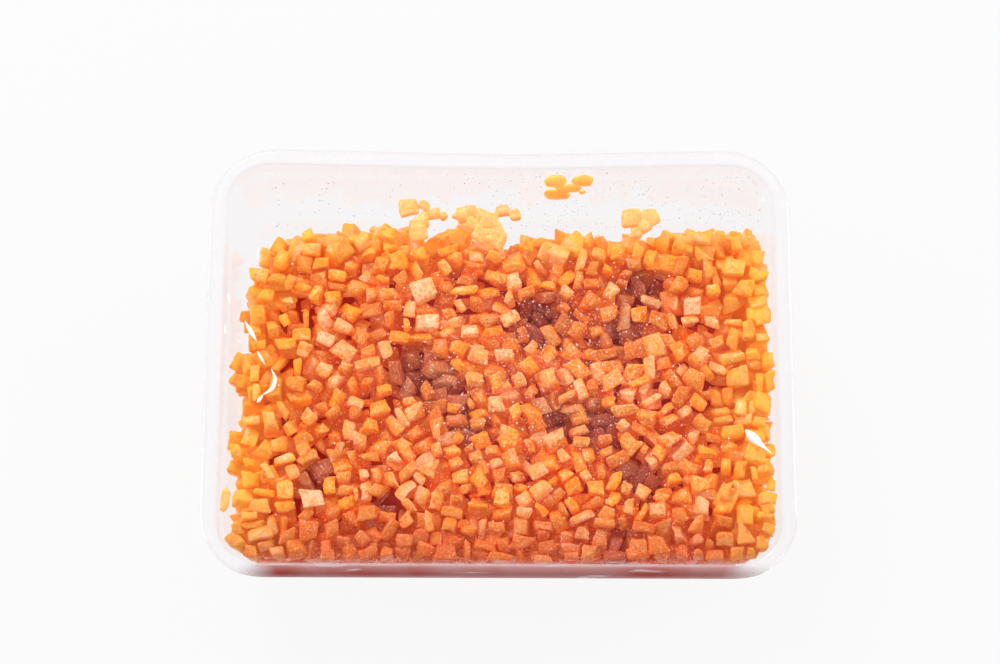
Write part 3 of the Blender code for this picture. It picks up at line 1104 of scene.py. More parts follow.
@dataclass
class Pour:
    """Settles the dice against the front wall, as in a pack that stands on its long edge.

    Bullet is at its best with bodies about a metre large, so it works at a hundred times the
    real size.
    """

    form: PackForm
    count: int = 4750
    frames: int = 32
    substeps: int = 8
    enlarge: float = 100.0
    pull: float = 150.0
    lean: float = math.radians(16)
    side: float = 6.3 * MM
    thick: float = 3.8 * MM
    step: float = 7.4 * MM
    top: float = 44.3 * MM
    bottom: float = 1.95 * MM
    left_gap: float = 2.0 * MM
    corner: float = 9.5 * MM
    base_cut: float = 1.5 * MM
    start_gap: float = 5.0 * MM
    slab: float = 20 * MM
    wide_spread: tuple[float, float] = (0.84, 1.12)
    long_spread: tuple[float, float] = (0.8, 1.18)
    thick_spread: tuple[float, float] = (0.7, 1.25)
    slice_spread: tuple[float, float] = (0.35, 0.65)
    sliced_share: float = 0.14
    iterations: int = 8
    friction: float = 0.35
    slowing: float = 0.1
    turn_slowing: float = 0.3

    def sizes(self, rng: np.random.Generator) -> np.ndarray:
        """Draws the dice's sizes: most are square, some are slices or crumbs.

        Args:
            rng: The random source.

        Returns:
            Length, width and thickness of each die.
        """
        wide = self.side * rng.uniform(*self.wide_spread, self.count)
        long = wide * rng.uniform(*self.long_spread, self.count)
        thick = self.thick * rng.uniform(*self.thick_spread, self.count)
        sliced = rng.random(self.count) < self.sliced_share
        wide = np.where(sliced, wide * rng.uniform(*self.slice_spread, self.count), wide)
        return np.stack([wide, long, thick], axis=1)

    def slabs(self) -> list[tuple[Vector, Vector]]:
        """Planes that hold the dice in: a point on each and its inward normal.

        Returns:
            The planes.
        """
        form = self.form
        lean = math.tan(form.draft)
        low = self.bottom
        gap = form.sheet / 2 + form.wall_gap
        half_x = form.rim_length / 2 - form.wall_inset(low) - gap
        half_y = form.rim_depth / 2 - form.wall_inset(low) - gap
        corner, base = self.corner, self.base_cut
        cut = math.sqrt(0.5)
        planes = [
            ((0, 0, self.top), (0, 0, -1)),
            ((0, 0, low), (0, 0, 1)),
            ((0, -half_y, low), (0, 1, lean)),
            ((half_x, 0, low), (-1, 0, lean)),
            ((-half_x, 0, low), (1, 0, lean - self.left_gap / self.top)),
            ((0, -half_y + base, low), (0, 1, 1)),
            ((half_x - base, 0, low), (-1, 0, 1)),
            ((-half_x + base, 0, low), (1, 0, 1)),
        ]
        for sign in (-1, 1):
            x = sign * (half_x - corner + corner * cut)
            y = -(half_y - corner + corner * cut)
            planes.append(((x, y, low), (-sign * cut, cut, lean)))
        return [(Vector(point), Vector(normal).normalized()) for point, normal in planes]

    def box(self, name: str, size: Sequence[float], home: bpy.types.Collection) -> bpy.types.Object:
        """A plain box of the enlarged world.

        Args:
            name: Its name.
            size: Its sides.
            home: Its collection.

        Returns:
            The box.
        """
        corners = [
            (x * size[0] / 2, y * size[1] / 2, z * size[2] / 2)
            for x in (-1, 1)
            for y in (-1, 1)
            for z in (-1, 1)
        ]
        faces = [(0, 1, 3, 2), (4, 6, 7, 5), (0, 4, 5, 1), (2, 3, 7, 6), (0, 2, 6, 4), (1, 5, 7, 3)]
        mesh = bpy.data.meshes.new(name)
        mesh.from_pydata(corners, [], faces)
        obj = bpy.data.objects.new(name, mesh)
        home.objects.link(obj)
        return obj

    def settle(self) -> Dice:
        """Runs the simulation.

        Returns:
            The dice at rest, in the pack's plain frame.
        """
        rng = np.random.default_rng(SEED)
        scene = bpy.context.scene
        bpy.ops.rigidbody.world_add()
        world = scene.rigidbody_world
        world.substeps_per_frame = self.substeps
        world.solver_iterations = self.iterations
        world.point_cache.frame_start = 1
        world.point_cache.frame_end = self.frames
        scene.gravity = (0, -self.pull * math.cos(self.lean), -self.pull * math.sin(self.lean))
        home = bpy.data.collections.new("pour")
        scene.collection.children.link(home)
        walls = self._hold(home)
        sizes = self.sizes(rng)
        dice = self._drop(home, sizes, rng)
        for group, kind in ((walls, "PASSIVE"), (dice, "ACTIVE")):
            self._animate(group, kind)
        for number in range(1, self.frames + 1):
            scene.frame_set(number)
        graph = bpy.context.evaluated_depsgraph_get()
        matrices = np.array([obj.evaluated_get(graph).matrix_world for obj in dice])
        bpy.ops.rigidbody.world_remove()
        for obj in list(home.objects):
            mesh = obj.data
            bpy.data.objects.remove(obj)
            bpy.data.meshes.remove(mesh)
        bpy.data.collections.remove(home)
        scene.frame_set(1)
        return Dice(sizes, matrices[:, :3, 3] / self.enlarge, matrices[:, :3, :3])

    def _hold(self, home: bpy.types.Collection) -> list[bpy.types.Object]:
        """Places the slabs that hold the dice.

        Args:
            home: The simulation's collection.

        Returns:
            The slabs.
        """
        wide = self.form.rim_length * 4 * self.enlarge
        thick = self.slab * self.enlarge
        slabs = []
        for number, (point, normal) in enumerate(self.slabs()):
            slab = self.box(f"slab_{number}", (wide, wide, thick), home)
            turn = normal.to_track_quat("Z", "Y").to_matrix().to_4x4()
            place = point * self.enlarge - normal * thick / 2
            slab.matrix_world = Matrix.Translation(place) @ turn
            slabs.append(slab)
        return slabs

    def _drop(
        self, home: bpy.types.Collection, sizes: np.ndarray, rng: np.random.Generator
    ) -> list[bpy.types.Object]:
        """Places the dice in loose rows above the front wall.

        Args:
            home: The simulation's collection.
            sizes: Each die's size.
            rng: The random source.

        Returns:
            The dice.
        """
        planes = self.slabs()
        margin = self.start_gap
        reach = abs(planes[3][0].x) - margin
        low, high = self.bottom + margin, self.top - margin
        columns = int(2 * reach / self.step)
        layers = int((high - low) / self.step) + 1
        turns = rng.uniform(0, 2 * math.pi, (self.count, 3))
        dice = []
        for number, size in enumerate(sizes):
            row, rest = divmod(number, columns * layers)
            layer, column = divmod(rest, columns)
            x = -reach + 2 * reach * column / (columns - 1)
            y = planes[2][0].y + margin + row * self.step
            z = low + (high - low) * layer / (layers - 1)
            die = self.box(f"die_{number}", size * self.enlarge, home)
            die.location = Vector((x, y, z)) * self.enlarge
            die.rotation_euler = turns[number]
            dice.append(die)
        return dice

    def _animate(self, group: list[bpy.types.Object], kind: str) -> None:
        """Adds boxes to the rigid body world.

        Args:
            group: The boxes.
            kind: PASSIVE or ACTIVE.
        """
        bpy.ops.object.select_all(action="DESELECT")
        for obj in group:
            obj.select_set(True)
        bpy.context.view_layer.objects.active = group[0]
        bpy.ops.rigidbody.objects_add(type=kind)
        for obj in group:
            body = obj.rigid_body
            body.collision_shape = "BOX"
            body.friction = self.friction
            body.restitution = 0.0
            body.linear_damping = self.slowing
            body.angular_damping = self.turn_slowing
            body.use_margin = True
            body.collision_margin = 0.0
            obj.select_set(False)


@dataclass
class DieShape:
    """Turns boxes into soft, unevenly cut dice that share one mesh."""

    form: PackForm
    rounding: float = 0.7 * MM
    round_share: float = 0.55
    ring: tuple[int, ...] = (-1, -1, 0, 1, 1)
    skew: float = 0.2
    lost_share: float = 0.7
    swelling: float = 0.1 * MM
    ripples: float = 900.0
    rough: float = 0.05 * MM
    oval: float = 0.0
    oval_power: float = 2.2
    # Where painted shade falls: below the heap's surface and towards the front, less where side light
    # reaches.
    surface: float = 42.5 * MM
    deep: float = 10 * MM
    front: float = -46 * MM
    front_run: float = 14 * MM
    front_share: float = 0.6
    depth_power: float = 1.3
    depth_share: float = 0.8
    lit_share: float = 0.8
    tint_power: float = 1.6

    def template(self) -> tuple[np.ndarray, np.ndarray, np.ndarray]:
        """A cube of four by four patches a side.

        Returns:
            For each point its place in the inner box and the direction of its rounding, and
            the faces.
        """
        last = len(self.ring) - 1
        index: dict[tuple[int, int, int], int] = {}
        quads = []

        def point(key: tuple[int, int, int]) -> int:
            """The number of a grid point, new or known."""
            return index.setdefault(key, len(index))

        for axis in range(3):
            for end in (0, last):
                for i in range(last):
                    for j in range(last):
                        around = [(i, j), (i + 1, j), (i + 1, j + 1), (i, j + 1)]
                        quad = []
                        for a, b in around:
                            key = [0, 0, 0]
                            key[axis] = end
                            key[(axis + 1) % 3] = a
                            key[(axis + 2) % 3] = b
                            quad.append(point(tuple(key)))
                        quads.append(quad if end else quad[::-1])
        keys = np.array(list(index))
        inner = np.array(self.ring)[keys].astype(float)
        outward = (keys == last).astype(float) - (keys == 0).astype(float)
        outward /= np.linalg.norm(outward, axis=1, keepdims=True)
        return inner, outward, np.array(quads)

    def mesh(
        self,
        name: str,
        dice: Dice,
        rng: np.random.Generator,
        lit: np.ndarray,
        dim: np.ndarray,
    ) -> bpy.types.Object:
        """One mesh of all the dice, with the attributes that their finish reads.

        Args:
            name: The object's name.
            dice: The dice.
            rng: The random source.
            lit: How much light from the side reaches each die, from 0 to 1.
            dim: How much painted shade each die gets, from 0 to 1: deep in a hollow or in the front rows.

        Returns:
            The object.
        """
        inner, outward, quads = self.template()
        count, points = len(dice.sizes), len(inner)
        half = dice.sizes[:, None, :] / 2
        radius = np.minimum(self.rounding, half.min(axis=2, keepdims=True) * self.round_share)
        local = inner[None] * (half - radius) + outward[None] * radius
        local = self._cut(local, half, rng)
        world = np.einsum("nij,npj->npi", dice.turns, local) + dice.places[:, None, :]
        world = self.form.inside(world)
        starts = np.arange(count)[:, None, None] * points
        obj = mesh_object(name, world.reshape(-1, 3), (quads[None] + starts).reshape(-1, 4))
        layer = np.clip(local[:, :, 2] / half[:, :, 2] * 0.5 + 0.5, 0, 1)
        tint = np.repeat(rng.random(count) ** self.tint_power, points)
        edge = np.tile((np.abs(inner).sum(axis=1) > 1.5).astype(float), count)
        grain = local + rng.uniform(-1, 1, (count, 1, 3))
        # Painted shade: darker below the heap's surface and in the front rows, less where side light is
        # painted.
        depth = ramp(world[:, :, 2], self.surface, -self.deep) ** self.depth_power
        depth += self.front_share * ramp(world[:, :, 1], self.front, -self.front_run)
        depth *= self.depth_share * (1 - self.lit_share * lit[:, None])
        masks = {"layer": layer.ravel(), "tint": tint, "edge": edge, "depth": depth.ravel()}
        # lit marks painted side light, the spark share where painted glint sparks go, and dim the painted
        # shade of hollows and front rows.
        for mask, share in {"lit": lit, "spark_share": 1 - lit, "dim": dim}.items():
            masks[mask] = np.repeat(share, points)
        for mask, values in masks.items():
            store(obj, mask, values)
        store(obj, "peel", grain.reshape(-1, 3))
        return obj

    def _cut(self, local: np.ndarray, half: np.ndarray, rng: np.random.Generator) -> np.ndarray:
        """Makes the dice uneven: skewed and missing corners, a curl and soft swellings.

        Args:
            local: Each die's points.
            half: Each die's half size.
            rng: The random source.

        Returns:
            The changed points.
        """
        count = len(local)
        share = np.clip(local / half, -1, 1)
        power = self.oval_power
        spread = (np.abs(share) ** power).sum(axis=2, keepdims=True) ** (1 / power)
        local *= 1 + self.oval * (1 / np.maximum(spread, 1) - 1)
        signs = np.array([(x, y, z) for x in (-1, 1) for y in (-1, 1) for z in (-1, 1)])
        weights = np.prod((1 + share[:, :, None, :] * signs[None, None]) / 2, axis=3)
        skew = rng.normal(0, self.skew, (count, 8, 3)) * half
        edge = rng.integers(0, 4, count)
        lost = np.where(rng.random(count) < self.lost_share, rng.uniform(0.35, 1.0, count), 0)
        for corner in range(8):
            pull = np.where(edge == corner // 2, lost, 0)[:, None]
            flat = half[:, 0, :] * signs[corner] * (1, 1, 0)
            skew[:, corner] -= pull * flat * rng.uniform(0.3, 1.0, (count, 3))
        local = local + np.einsum("npk,nkj->npj", weights, skew)
        curl = rng.normal(0.1, 0.14, (count, 1)) * half[:, :, 2]
        local[:, :, 2] -= curl * (share[:, :, 0] ** 2 + share[:, :, 1] ** 2 - 0.6)
        for _ in range(3):
            wave = rng.normal(0, self.ripples, (count, 1, 3))
            phase = rng.uniform(0, 2 * math.pi, (count, 1))
            push = np.sin((local * wave).sum(axis=2) + phase) * self.swelling
            local = local + share * push[:, :, None]
        return local + rng.normal(0, self.rough, local.shape)


def turned(yaw: float, lean: float = 0.0, roll: float = 0.0) -> np.ndarray:
    """A turn about the upright axis after a lean and a roll.

    Args:
        yaw: Degrees about Z.
        lean: Degrees about X, done before.
        roll: Degrees about Y, done first.

    Returns:
        The rotation matrix.
    """
    angles = [math.radians(a) for a in (lean, roll, yaw)]
    matrix = Matrix.Rotation(angles[0], 3, "X") @ Matrix.Rotation(angles[2], 3, "Z")
    return np.array(matrix @ Matrix.Rotation(angles[1], 3, "Y"))


@dataclass
class Stuck:
    """The dice that syrup holds away from the heap: on the film, the back wall and the left.

    Both lists are in millimetres and degrees: x, y, turn and side of the dice on the film, and
    x, depth below the rim, turn, width, height and thickness of those on the back wall.
    """

    form: PackForm
    film_dice: Sequence[tuple[float, float, float, float]] = (
        (-30, 52.6, 12, 6.4),
        (-26.6, 46.8, 30, 6.2),
        (-24.8, 53.3, 75, 3.6),
        (-21.4, 50.6, 10, 4.2),
        (-24.6, 48.6, 48, 5.6),
        (-18.6, 49.9, 30, 2.6),
        (-10.8, 51, 5, 6.2),
        (-13.0, 49.5, 40, 5.0),
        (-5.6, 51.2, 14, 6.2),
        (-8.2, 47.4, 70, 5.6),
        (-3.4, 47.8, 4, 6.4),
        (-6.0, 44.2, 55, 6.2),
        (-3.6, 40.8, 10, 6.2),
        (1.0, 41.2, 34, 6.0),
        (-26.5, 43.6, 16, 6.0),
        (-1.4, 44.4, 20, 6.0),
        (0.8, 51.4, 8, 4.8),
        (4.8, 50.0, 12, 3.8),
        (43.2, 49.2, 4, 6.6),
        (49.4, 49.2, 14, 6.6),
        (44.4, 44.8, 0, 5.8),
        (47.6, 46.4, 30, 5.0),
    )
    wall_dice: Sequence[tuple[float, float, float, float, float, float]] = (
        (18.4, 6.0, 4, 7.6, 6.4, 3.4),
        (27.7, 7.0, -8, 6.8, 6.0, 2.8),
        (22.6, 13.4, 3, 9.0, 4.6, 2.4),
        (19.0, 19.0, -4, 9.4, 7.0, 2.0),
        (27.8, 18.6, 20, 2.2, 2.0, 0.8),
    )
    film_thick: tuple[float, float] = (2.6, 3.8)
    film_side: tuple[float, float] = (0.8, 1.0)
    film_drop: float = 0.5
    film_lean: float = 5
    wall_film: float = 0.15 * MM
    sliver_size: tuple[float, float, float] = (7.6, 2.9, 1.2)
    sliver_place: tuple[float, float, float] = (-87.2, -46.0, 43.2)
    sliver_turn: tuple[float, float] = (84, 2)

    def on_film(self, rng: np.random.Generator) -> Dice:
        """The dice under the film.

        Args:
            rng: The random source.

        Returns:
            The dice.
        """
        spots = np.array(self.film_dice)
        count = len(spots)
        thick = rng.uniform(*self.film_thick, count)
        side = spots[:, 3] * rng.uniform(*self.film_side, count)
        sizes = np.stack([spots[:, 3], side, thick], 1)
        top = (self.form.height - self.form.film_gap) / MM
        heights = top - thick / 2 - rng.uniform(0, self.film_drop, count)
        places = np.column_stack([spots[:, 0], spots[:, 1], heights])
        lean = self.film_lean
        turns = [turned(a, rng.normal(0, lean), rng.normal(0, lean)) for a in spots[:, 2]]
        return Dice(sizes * MM, places * MM, np.array(turns))

    def on_walls(self) -> Dice:
        """The dice on the back wall.

        Returns:
            The dice.
        """
        form = self.form
        lean = 90 - math.degrees(form.draft)
        places, sizes, turns = [], [], []
        for x, drop, turn, wide, high, thick in self.wall_dice:
            height = form.height - drop * MM
            wall = np.array([[x * MM, form.rim_depth / 2 - form.wall_inset(height), height]])
            y = form.settle(wall)[0, 1] + form.shift
            places.append((x * MM, y - form.sheet / 2 - thick / 2 * MM - self.wall_film, height))
            sizes.append((wide * MM, high * MM, thick * MM))
            turns.append(turned(turn, lean))
        return Dice(np.array(sizes), np.array(places), np.array(turns))

    def beside(self) -> Dice:
        """The sliver at the left wall.

        Returns:
            One die.
        """
        size, place = np.array([self.sliver_size]), np.array([self.sliver_place])
        return Dice(size * MM, place * MM, np.array([turned(*self.sliver_turn)]))

    def build(self, rng: np.random.Generator) -> None:
        """Makes one piece for each place.

        Args:
            rng: The random source.
        """
        amber, honey = PEEL_FINISHES[Kind.AMBER].build(), PEEL_FINISHES[Kind.HONEY].build()
        clump = DieShape(self.form, skew=0.12, lost_share=0.3, oval=0.4)
        smooth = DieShape(
            self.form, rounding=3 * MM, round_share=0.9, skew=0.1, lost_share=0.0, oval=1.0
        )
        groups = (
            ("film_clumps", self.on_film(rng), clump, amber, "peel_heap"),
            ("left_sliver", self.beside(), smooth, amber, "peel_heap"),
            ("back_wall_bits", self.on_walls(), smooth, honey, "stuck_bits_back"),
        )
        for name, dice, shape, material, node in groups:
            dice.places[:, 1] -= self.form.shift
            count = len(dice.sizes)
            # These dice get the full painted side light and glow, and no painted shade.
            body = shape.mesh(name, dice, rng, np.ones(count), np.zeros(count))
            finish_piece(body, material, Slot.PEEL, node)


@dataclass
class Droplets:
    """Fine drops of syrup under the film. Their places and sizes are in millimetres."""

    form: PackForm
    film: Film
    count: int = 2300
    sides: int = 6
    width: tuple[float, float] = (-75, 86)
    depth: tuple[float, float] = (-62, 64)
    crowd: tuple[float, float] = (16, -2)
    crowd_reach: tuple[float, float] = (42, 30)
    crowd_share: float = 0.5
    clear_line: float = 42
    clear_middle: float = -12
    clear_shares: tuple[float, float] = (0.12, 0.3)
    stray_share: float = 0.012
    usual: float = 0.14
    sizes: tuple[float, float] = (0.07, 0.32)
    # Drops behind this line get painted shade, the others a painted highlight.
    dark_line: float = 44 * MM

    def spots(self, rng: np.random.Generator) -> np.ndarray:
        """Draws the drops' places, densest right of the middle and over the clear band.

        Args:
            rng: The random source.

        Returns:
            x and y, one row each.
        """
        found: list[tuple[float, float]] = []
        while len(found) < self.count:
            x, y = rng.uniform(*self.width), rng.uniform(*self.depth)
            patch = math.sin(x * 0.21 + y * 0.13) * math.sin(y * 0.27 - x * 0.09)
            far_x = (x - self.crowd[0]) / self.crowd_reach[0]
            far_y = (y - self.crowd[1]) / self.crowd_reach[1]
            chance = self.crowd_share * math.exp(-(far_x**2) - far_y**2)
            if y > self.clear_line:
                chance = self.clear_shares[int(x > self.clear_middle)]
            if rng.random() < chance * (1 + 0.8 * patch) + self.stray_share:
                found.append((x * MM, y * MM))
        return np.array(found)

    def build(self) -> None:
        """Makes the drops as small domes that hang from the film."""
        rng = np.random.default_rng(SEED + 2)
        spots = self.spots(rng)
        count = len(spots)
        radius = rng.lognormal(math.log(self.usual), 0.4, count).clip(*self.sizes) * MM
        inset = self.form.inset_at(*spots.T)
        top = [self.film.lower(spot[None], edge)[0] for spot, edge in zip(spots, inset)]
        angles = np.arange(self.sides) * 2 * math.pi / self.sides
        circle = np.stack([np.cos(angles), np.sin(angles), 0 * angles], 1)
        dome = np.concatenate([circle, circle * 0.72 - (0, 0, 0.4), [(0, 0, -0.6)]])
        centre = np.column_stack([spots[:, 0], spots[:, 1] - self.form.shift, np.array(top)])
        verts = centre[:, None] + dome[None] * radius[:, None, None]
        here = np.arange(self.sides)
        after = (here + 1) % self.sides
        band = np.stack([here, here + self.sides, after + self.sides, after], 1)
        tip = np.stack([here + self.sides, 2 * self.sides + 0 * here, after + self.sides], 1)
        starts = np.arange(count)[:, None, None] * len(dome)
        tips = (tip + starts).reshape(-1, 3).tolist()
        body = mesh_object("film_drops", verts.reshape(-1, 3), (band + starts).reshape(-1, 4), tips)
        # Painted shade for drops over the clear band, a painted highlight for the rest.
        shade = np.repeat((spots[:, 1] > self.dark_line).astype(float), len(dome))
        store(body, "shade", shade)
        finish_piece(body, DropletFinish().build(), Slot.FILM, "lid_film")


@dataclass(frozen=True)
class GlintFinish(Finish):
    """Wet film that touches no dice, painted as a highlight that shines nearly white."""

    name: str = "film_glint"
    colour: Colour = (1.0, 0.88, 0.76)
    strength: float = 0.24

    def shader(self, kit: NodeKit) -> Wire:
        """A glossy smear with some light of its own."""
        return kit.principled(
            Base_Color=self.colour,
            Roughness=0.1,
            Emission_Color=self.colour,
            Emission_Strength=self.strength,
        )


@dataclass
class Glints:
    """Painted highlights on curved smears of syrup under the film at both ends of the heap.

    Each line is a list of x, y and width in millimetres.
    """

    form: PackForm
    film: Film
    lines: Sequence[Sequence[tuple[float, float, float]]] = (
        ((-82.6, 13.0, 0.6), (-80.6, 9.5, 1.7), (-78.6, 6.2, 1.0)),
        ((-78.2, 2.7, 0.9), (-76.9, 0.4, 0.9), (-75.5, -1.8, 0.3)),
        ((-73.6, -3.0, 0.5), (-72.0, -6.4, 1.3), (-72.9, -9.8, 1.5), (-76.1, -11.9, 1.0)),
        ((-76.1, -11.9, 1.0), (-77.7, -14.4, 1.4)),
        ((-84.6, 6.4, 0.5), (-83.7, 5.4, 0.8)),
        ((-88.2, 22.0, 0.6), (-87.6, 19.0, 1.2)),
        ((-88.9, 11.6, 0.5), (-88.6, 8.6, 0.9)),
        ((79.0, -22.8, 2.6), (81.4, -25.4, 3.8), (84.6, -28.4, 1.2), (87.6, -31.0, 0.3)),
    )
    depth: float = 0.3 * MM
    tip: float = 0.03
    steps: int = 9
    smoothing: int = 4

    def build(self) -> None:
        """Makes one piece of all the smears."""
        verts, quads = [], []
        for line in self.lines:
            spots = np.array(line) * MM
            every = np.linspace(0, len(spots) - 1, self.steps * (len(spots) - 1) + 1)
            path = np.stack([np.interp(every, range(len(spots)), column) for column in spots.T], 1)
            for _ in range(self.smoothing):
                path[1:-1] = (path[:-2] + path[1:-1] + path[2:]) / 3
            ends = np.sin(np.linspace(self.tip, math.pi - self.tip, len(path))) ** 0.5
            ahead = np.gradient(path[:, :2], axis=0)
            ahead /= np.linalg.norm(ahead, axis=1, keepdims=True)
            across = np.stack([-ahead[:, 1], ahead[:, 0]], 1) * (path[:, 2] * ends / 2)[:, None]
            for n, (spot, side) in enumerate(zip(path, across)):
                top = self.film.lower(spot[None, :2], self.form.inset_at(*spot[:2]))[0]
                x, y = spot[0], spot[1] - self.form.shift
                verts += [(x + side[0], y + side[1], top), (x, y, top - self.depth * ends[n])]
                verts += [(x - side[0], y - side[1], top), (x, y, top)]
                if n:
                    last = len(verts) - 4
                    for a in range(4):
                        b = (a + 1) % 4
                        quads.append((last - 4 + a, last - 4 + b, last + b, last + a))
        body = mesh_object("painted_film_glints", np.array(verts), np.array(quads))
        finish_piece(body, GlintFinish().build(), Slot.FILM, "lid_film")


@dataclass
class Heap:
    """The heap of dice over its core.

    The lists are in millimetres: x, y, radius and depth of each hollow, x and y of the heap's
    edge along the clear strip, and y and x of its left edge.
    """

    form: PackForm
    hollows: Sequence[tuple[float, float, float, float]] = (
        (-26, -3, 8, 5.0),
        (14, 15.5, 9, 5.5),
        (47, 27, 8, 5.0),
        (39, 10.5, 7, 4.5),
        (19, -18, 7, 5.0),
        (32, -20, 8, 5.5),
        (46, -38, 7, 5.0),
        (-10, -20, 6, 4.5),
        (-16, -10, 6, 4.5),
        (38, -59, 6, 4.0),
        (-35, -47.5, 6, 4.0),
        (-58, -39, 6, 4.0),
    )
    fill_line: Sequence[tuple[float, float]] = (
        (-95, 26),
        (-80, 34),
        (-69, 42.5),
        (-49, 45.6),
        (-33, 46),
        (-26, 43),
        (-24, 41.4),
        (-20, 43.6),
        (-15, 45.8),
        (-12.4, 45.6),
        (-10.6, 42.4),
        (-7, 38.4),
        (6, 39.6),
        (9.7, 43.6),
        (13, 42.5),
        (49, 42.5),
        (65, 45),
        (77, 44),
        (87, 39),
    )
    left_line: Sequence[tuple[float, float]] = (
        (-66, -88),
        (-56, -87),
        (-39, -84.8),
        (-26, -87.4),
        (-16, -80.6),
        (-3.6, -86.7),
        (10.5, -81.6),
        (20.6, -84.8),
        (34, -80),
    )
    shares: Sequence[tuple[Kind, float]] = (
        (Kind.ZEST, 0.3),
        (Kind.PEACH, 0.29),
        (Kind.PALE, 0.19),
        (Kind.DEEP, 0.22),
    )
    core_inset: float = 9.5 * MM
    core_round: float = 2 * MM
    heap_low: tuple[float, float, float] = (-84 * MM, -61 * MM, 2 * MM)
    heap_high: tuple[float, float, float] = (84 * MM, 42 * MM, 41 * MM)
    slope: float = math.radians(16)
    fill_gap: float = 2.2 * MM
    left_gap: float = 2.6 * MM
    unrest: float = math.radians(22)
    sliver_share: float = 0.24
    top_layer: float = 41 * MM
    filling: float = 0.3
    filling_run: float = 3 * MM
    # Painted shade of dice deep in the hollows and in the front rows.
    hollow_drop: float = 3.4 * MM
    hollow_run: float = 2.6 * MM
    hollow_share: float = 0.7
    front_line: float = -46 * MM
    front_run: float = 14 * MM
    front_share: float = 0.28
    spread: float = 1.018
    size_low: tuple[float, float, float] = (0.7, 0.7, 0.68)
    size_high: tuple[float, float, float] = (1.04, 1.04, 1.04)
    sliver_widths: tuple[float, float] = (0.42, 0.75)
    # Where painted side light reaches the dice, from the sides and the back.
    lit_side: float = 87 * MM
    lit_back: float = 46 * MM
    lit_runs: tuple[float, float, float] = (26 * MM, 22 * MM, 14 * MM)

    def trim(self, dice: Dice) -> Dice:
        """Leaves out the dice in the hollows, and those that the core takes the place of.

        Args:
            dice: All the settled dice.

        Returns:
            Those that stay.
        """
        x, y, z = dice.places.T
        form = self.form
        stay = np.ones(len(x), bool)
        for cx, cy, radius, depth in self.hollows:
            far = np.hypot(x - cx * MM, y - cy * MM) / (radius * MM)
            stay &= ~((far < 1) & (z > form.height - depth * MM * (1.15 - far * far)))
        line = np.array(self.fill_line).T * MM
        lean = (form.height - z) * math.tan(self.slope)
        stay &= y < np.interp(x, *line) - self.fill_gap + lean
        line = np.array(self.left_line).T * MM
        stay &= x > np.interp(y, *line) + self.left_gap
        low, high = self.core_box()
        inside = np.all((dice.places > low) & (dice.places < high), axis=1)
        log.info("dice left out: %d, in the core: %d", (~stay).sum(), (inside & stay).sum())
        return dice.keep(stay & ~inside)

    def jumble(self, dice: Dice, rng: np.random.Generator) -> None:
        """Turns the dice further out of their neat rows, and keeps them inside the tray.

        Args:
            dice: The dice, in the plain frame.
            rng: The random source.
        """
        count = len(dice.sizes)
        axes = rng.normal(size=(count, 3))
        angles = rng.normal(0, self.unrest, count)
        extra = [Matrix.Rotation(a, 3, Vector(axis)) for a, axis in zip(angles, axes)]
        dice.turns = np.einsum("nij,njk->nik", np.array(extra), dice.turns)
        reach = np.einsum("nij,nj->ni", np.abs(dice.turns), dice.sizes / 2)
        form = self.form
        x, y, z = dice.places.T
        z = np.minimum(z, form.height - form.film_gap - reach[:, 2])
        inset = form.flange + (form.height - z + reach[:, 2]) * math.tan(form.draft)
        inset += form.sheet / 2 + form.wall_gap
        side = form.rim_length / 2 - inset - reach[:, 0]
        front = form.rim_depth / 2 - inset - reach[:, 1]
        x, y = np.clip(x * self.spread, -side, side), np.maximum(y, -front)
        radius = form.corner - form.corner_shrink * inset
        middle_x = form.rim_length / 2 - inset - radius
        middle_y = form.rim_depth / 2 - inset - radius
        ahead = np.stack([np.abs(x) - middle_x, -y - middle_y], 1)
        far = np.linalg.norm(ahead, axis=1)
        way = np.stack([ahead[:, 0] * np.sign(x), -ahead[:, 1], 0 * far], 1) / far[:, None]
        half = np.abs(np.einsum("nij,ni->nj", dice.turns, way)) * dice.sizes / 2
        room = np.clip((radius - half.sum(axis=1)) / far, 0, 1)
        room = np.where(ahead.min(axis=1) > 0, room, 1)
        x = np.where(room < 1, np.sign(x) * (middle_x + ahead[:, 0] * room), x)
        y = np.where(room < 1, -(middle_y + ahead[:, 1] * room), y)
        dice.places = np.stack([x, y, z], 1)

    def side_light(self, dice: Dice) -> np.ndarray:
        """How much light from the sides and the back reaches the dice.

        Args:
            dice: The dice, in the shifted frame.

        Returns:
            A share from 0 to 1 for each die.
        """
        x, y, _ = dice.places.T
        y = y + self.form.shift
        left_run, right_run, back_run = self.lit_runs
        left = (x + self.lit_side) / left_run
        right = (self.lit_side - x) / right_run
        back = (self.lit_back - y) / back_run
        return np.clip(1.1 - np.minimum(np.minimum(left, right), back), 0, 1)

    def hollow_shade(self, dice: Dice) -> np.ndarray:
        """How much painted shade the dice get, deep in a hollow or in the front rows.

        Args:
            dice: The dice, in the shifted frame.

        Returns:
            A share from 0 to 1 for each die.
        """
        x, y, z = dice.places.T
        y = y + self.form.shift
        shade = np.zeros(len(x))
        for cx, cy, radius, _ in self.hollows:
            far = np.hypot(x - cx * MM, y - cy * MM) / (radius * MM)
            shade = np.maximum(shade, np.clip(1.5 - far * far, 0, 1))
        below = ramp(z, self.form.height - self.hollow_drop, -self.hollow_run)
        front = ramp(y, self.front_line, -self.front_run)
        return np.maximum(shade * below * self.hollow_share, front * self.front_share)

    def core_box(self) -> tuple[np.ndarray, np.ndarray]:
        """Corners of the core's box.

        Returns:
            Lowest and highest corner.
        """
        return np.array(self.heap_low) + self.core_inset, np.array(self.heap_high) - self.core_inset

    def core(self) -> bpy.types.Object:
        """Makes the core.

        Returns:
            The core.
        """
        low, high = self.core_box()
        inner, outward, quads = DieShape(self.form).template()
        centre, half = (low + high) / 2, (high - low) / 2
        verts = centre + inner * (half - self.core_round) + outward * self.core_round
        verts[:, 1] -= self.form.shift
        body = mesh_object("heap_core", verts, quads)
        finish_piece(body, CoreFinish().build(), Slot.PEEL, "peel_heap")
        return body

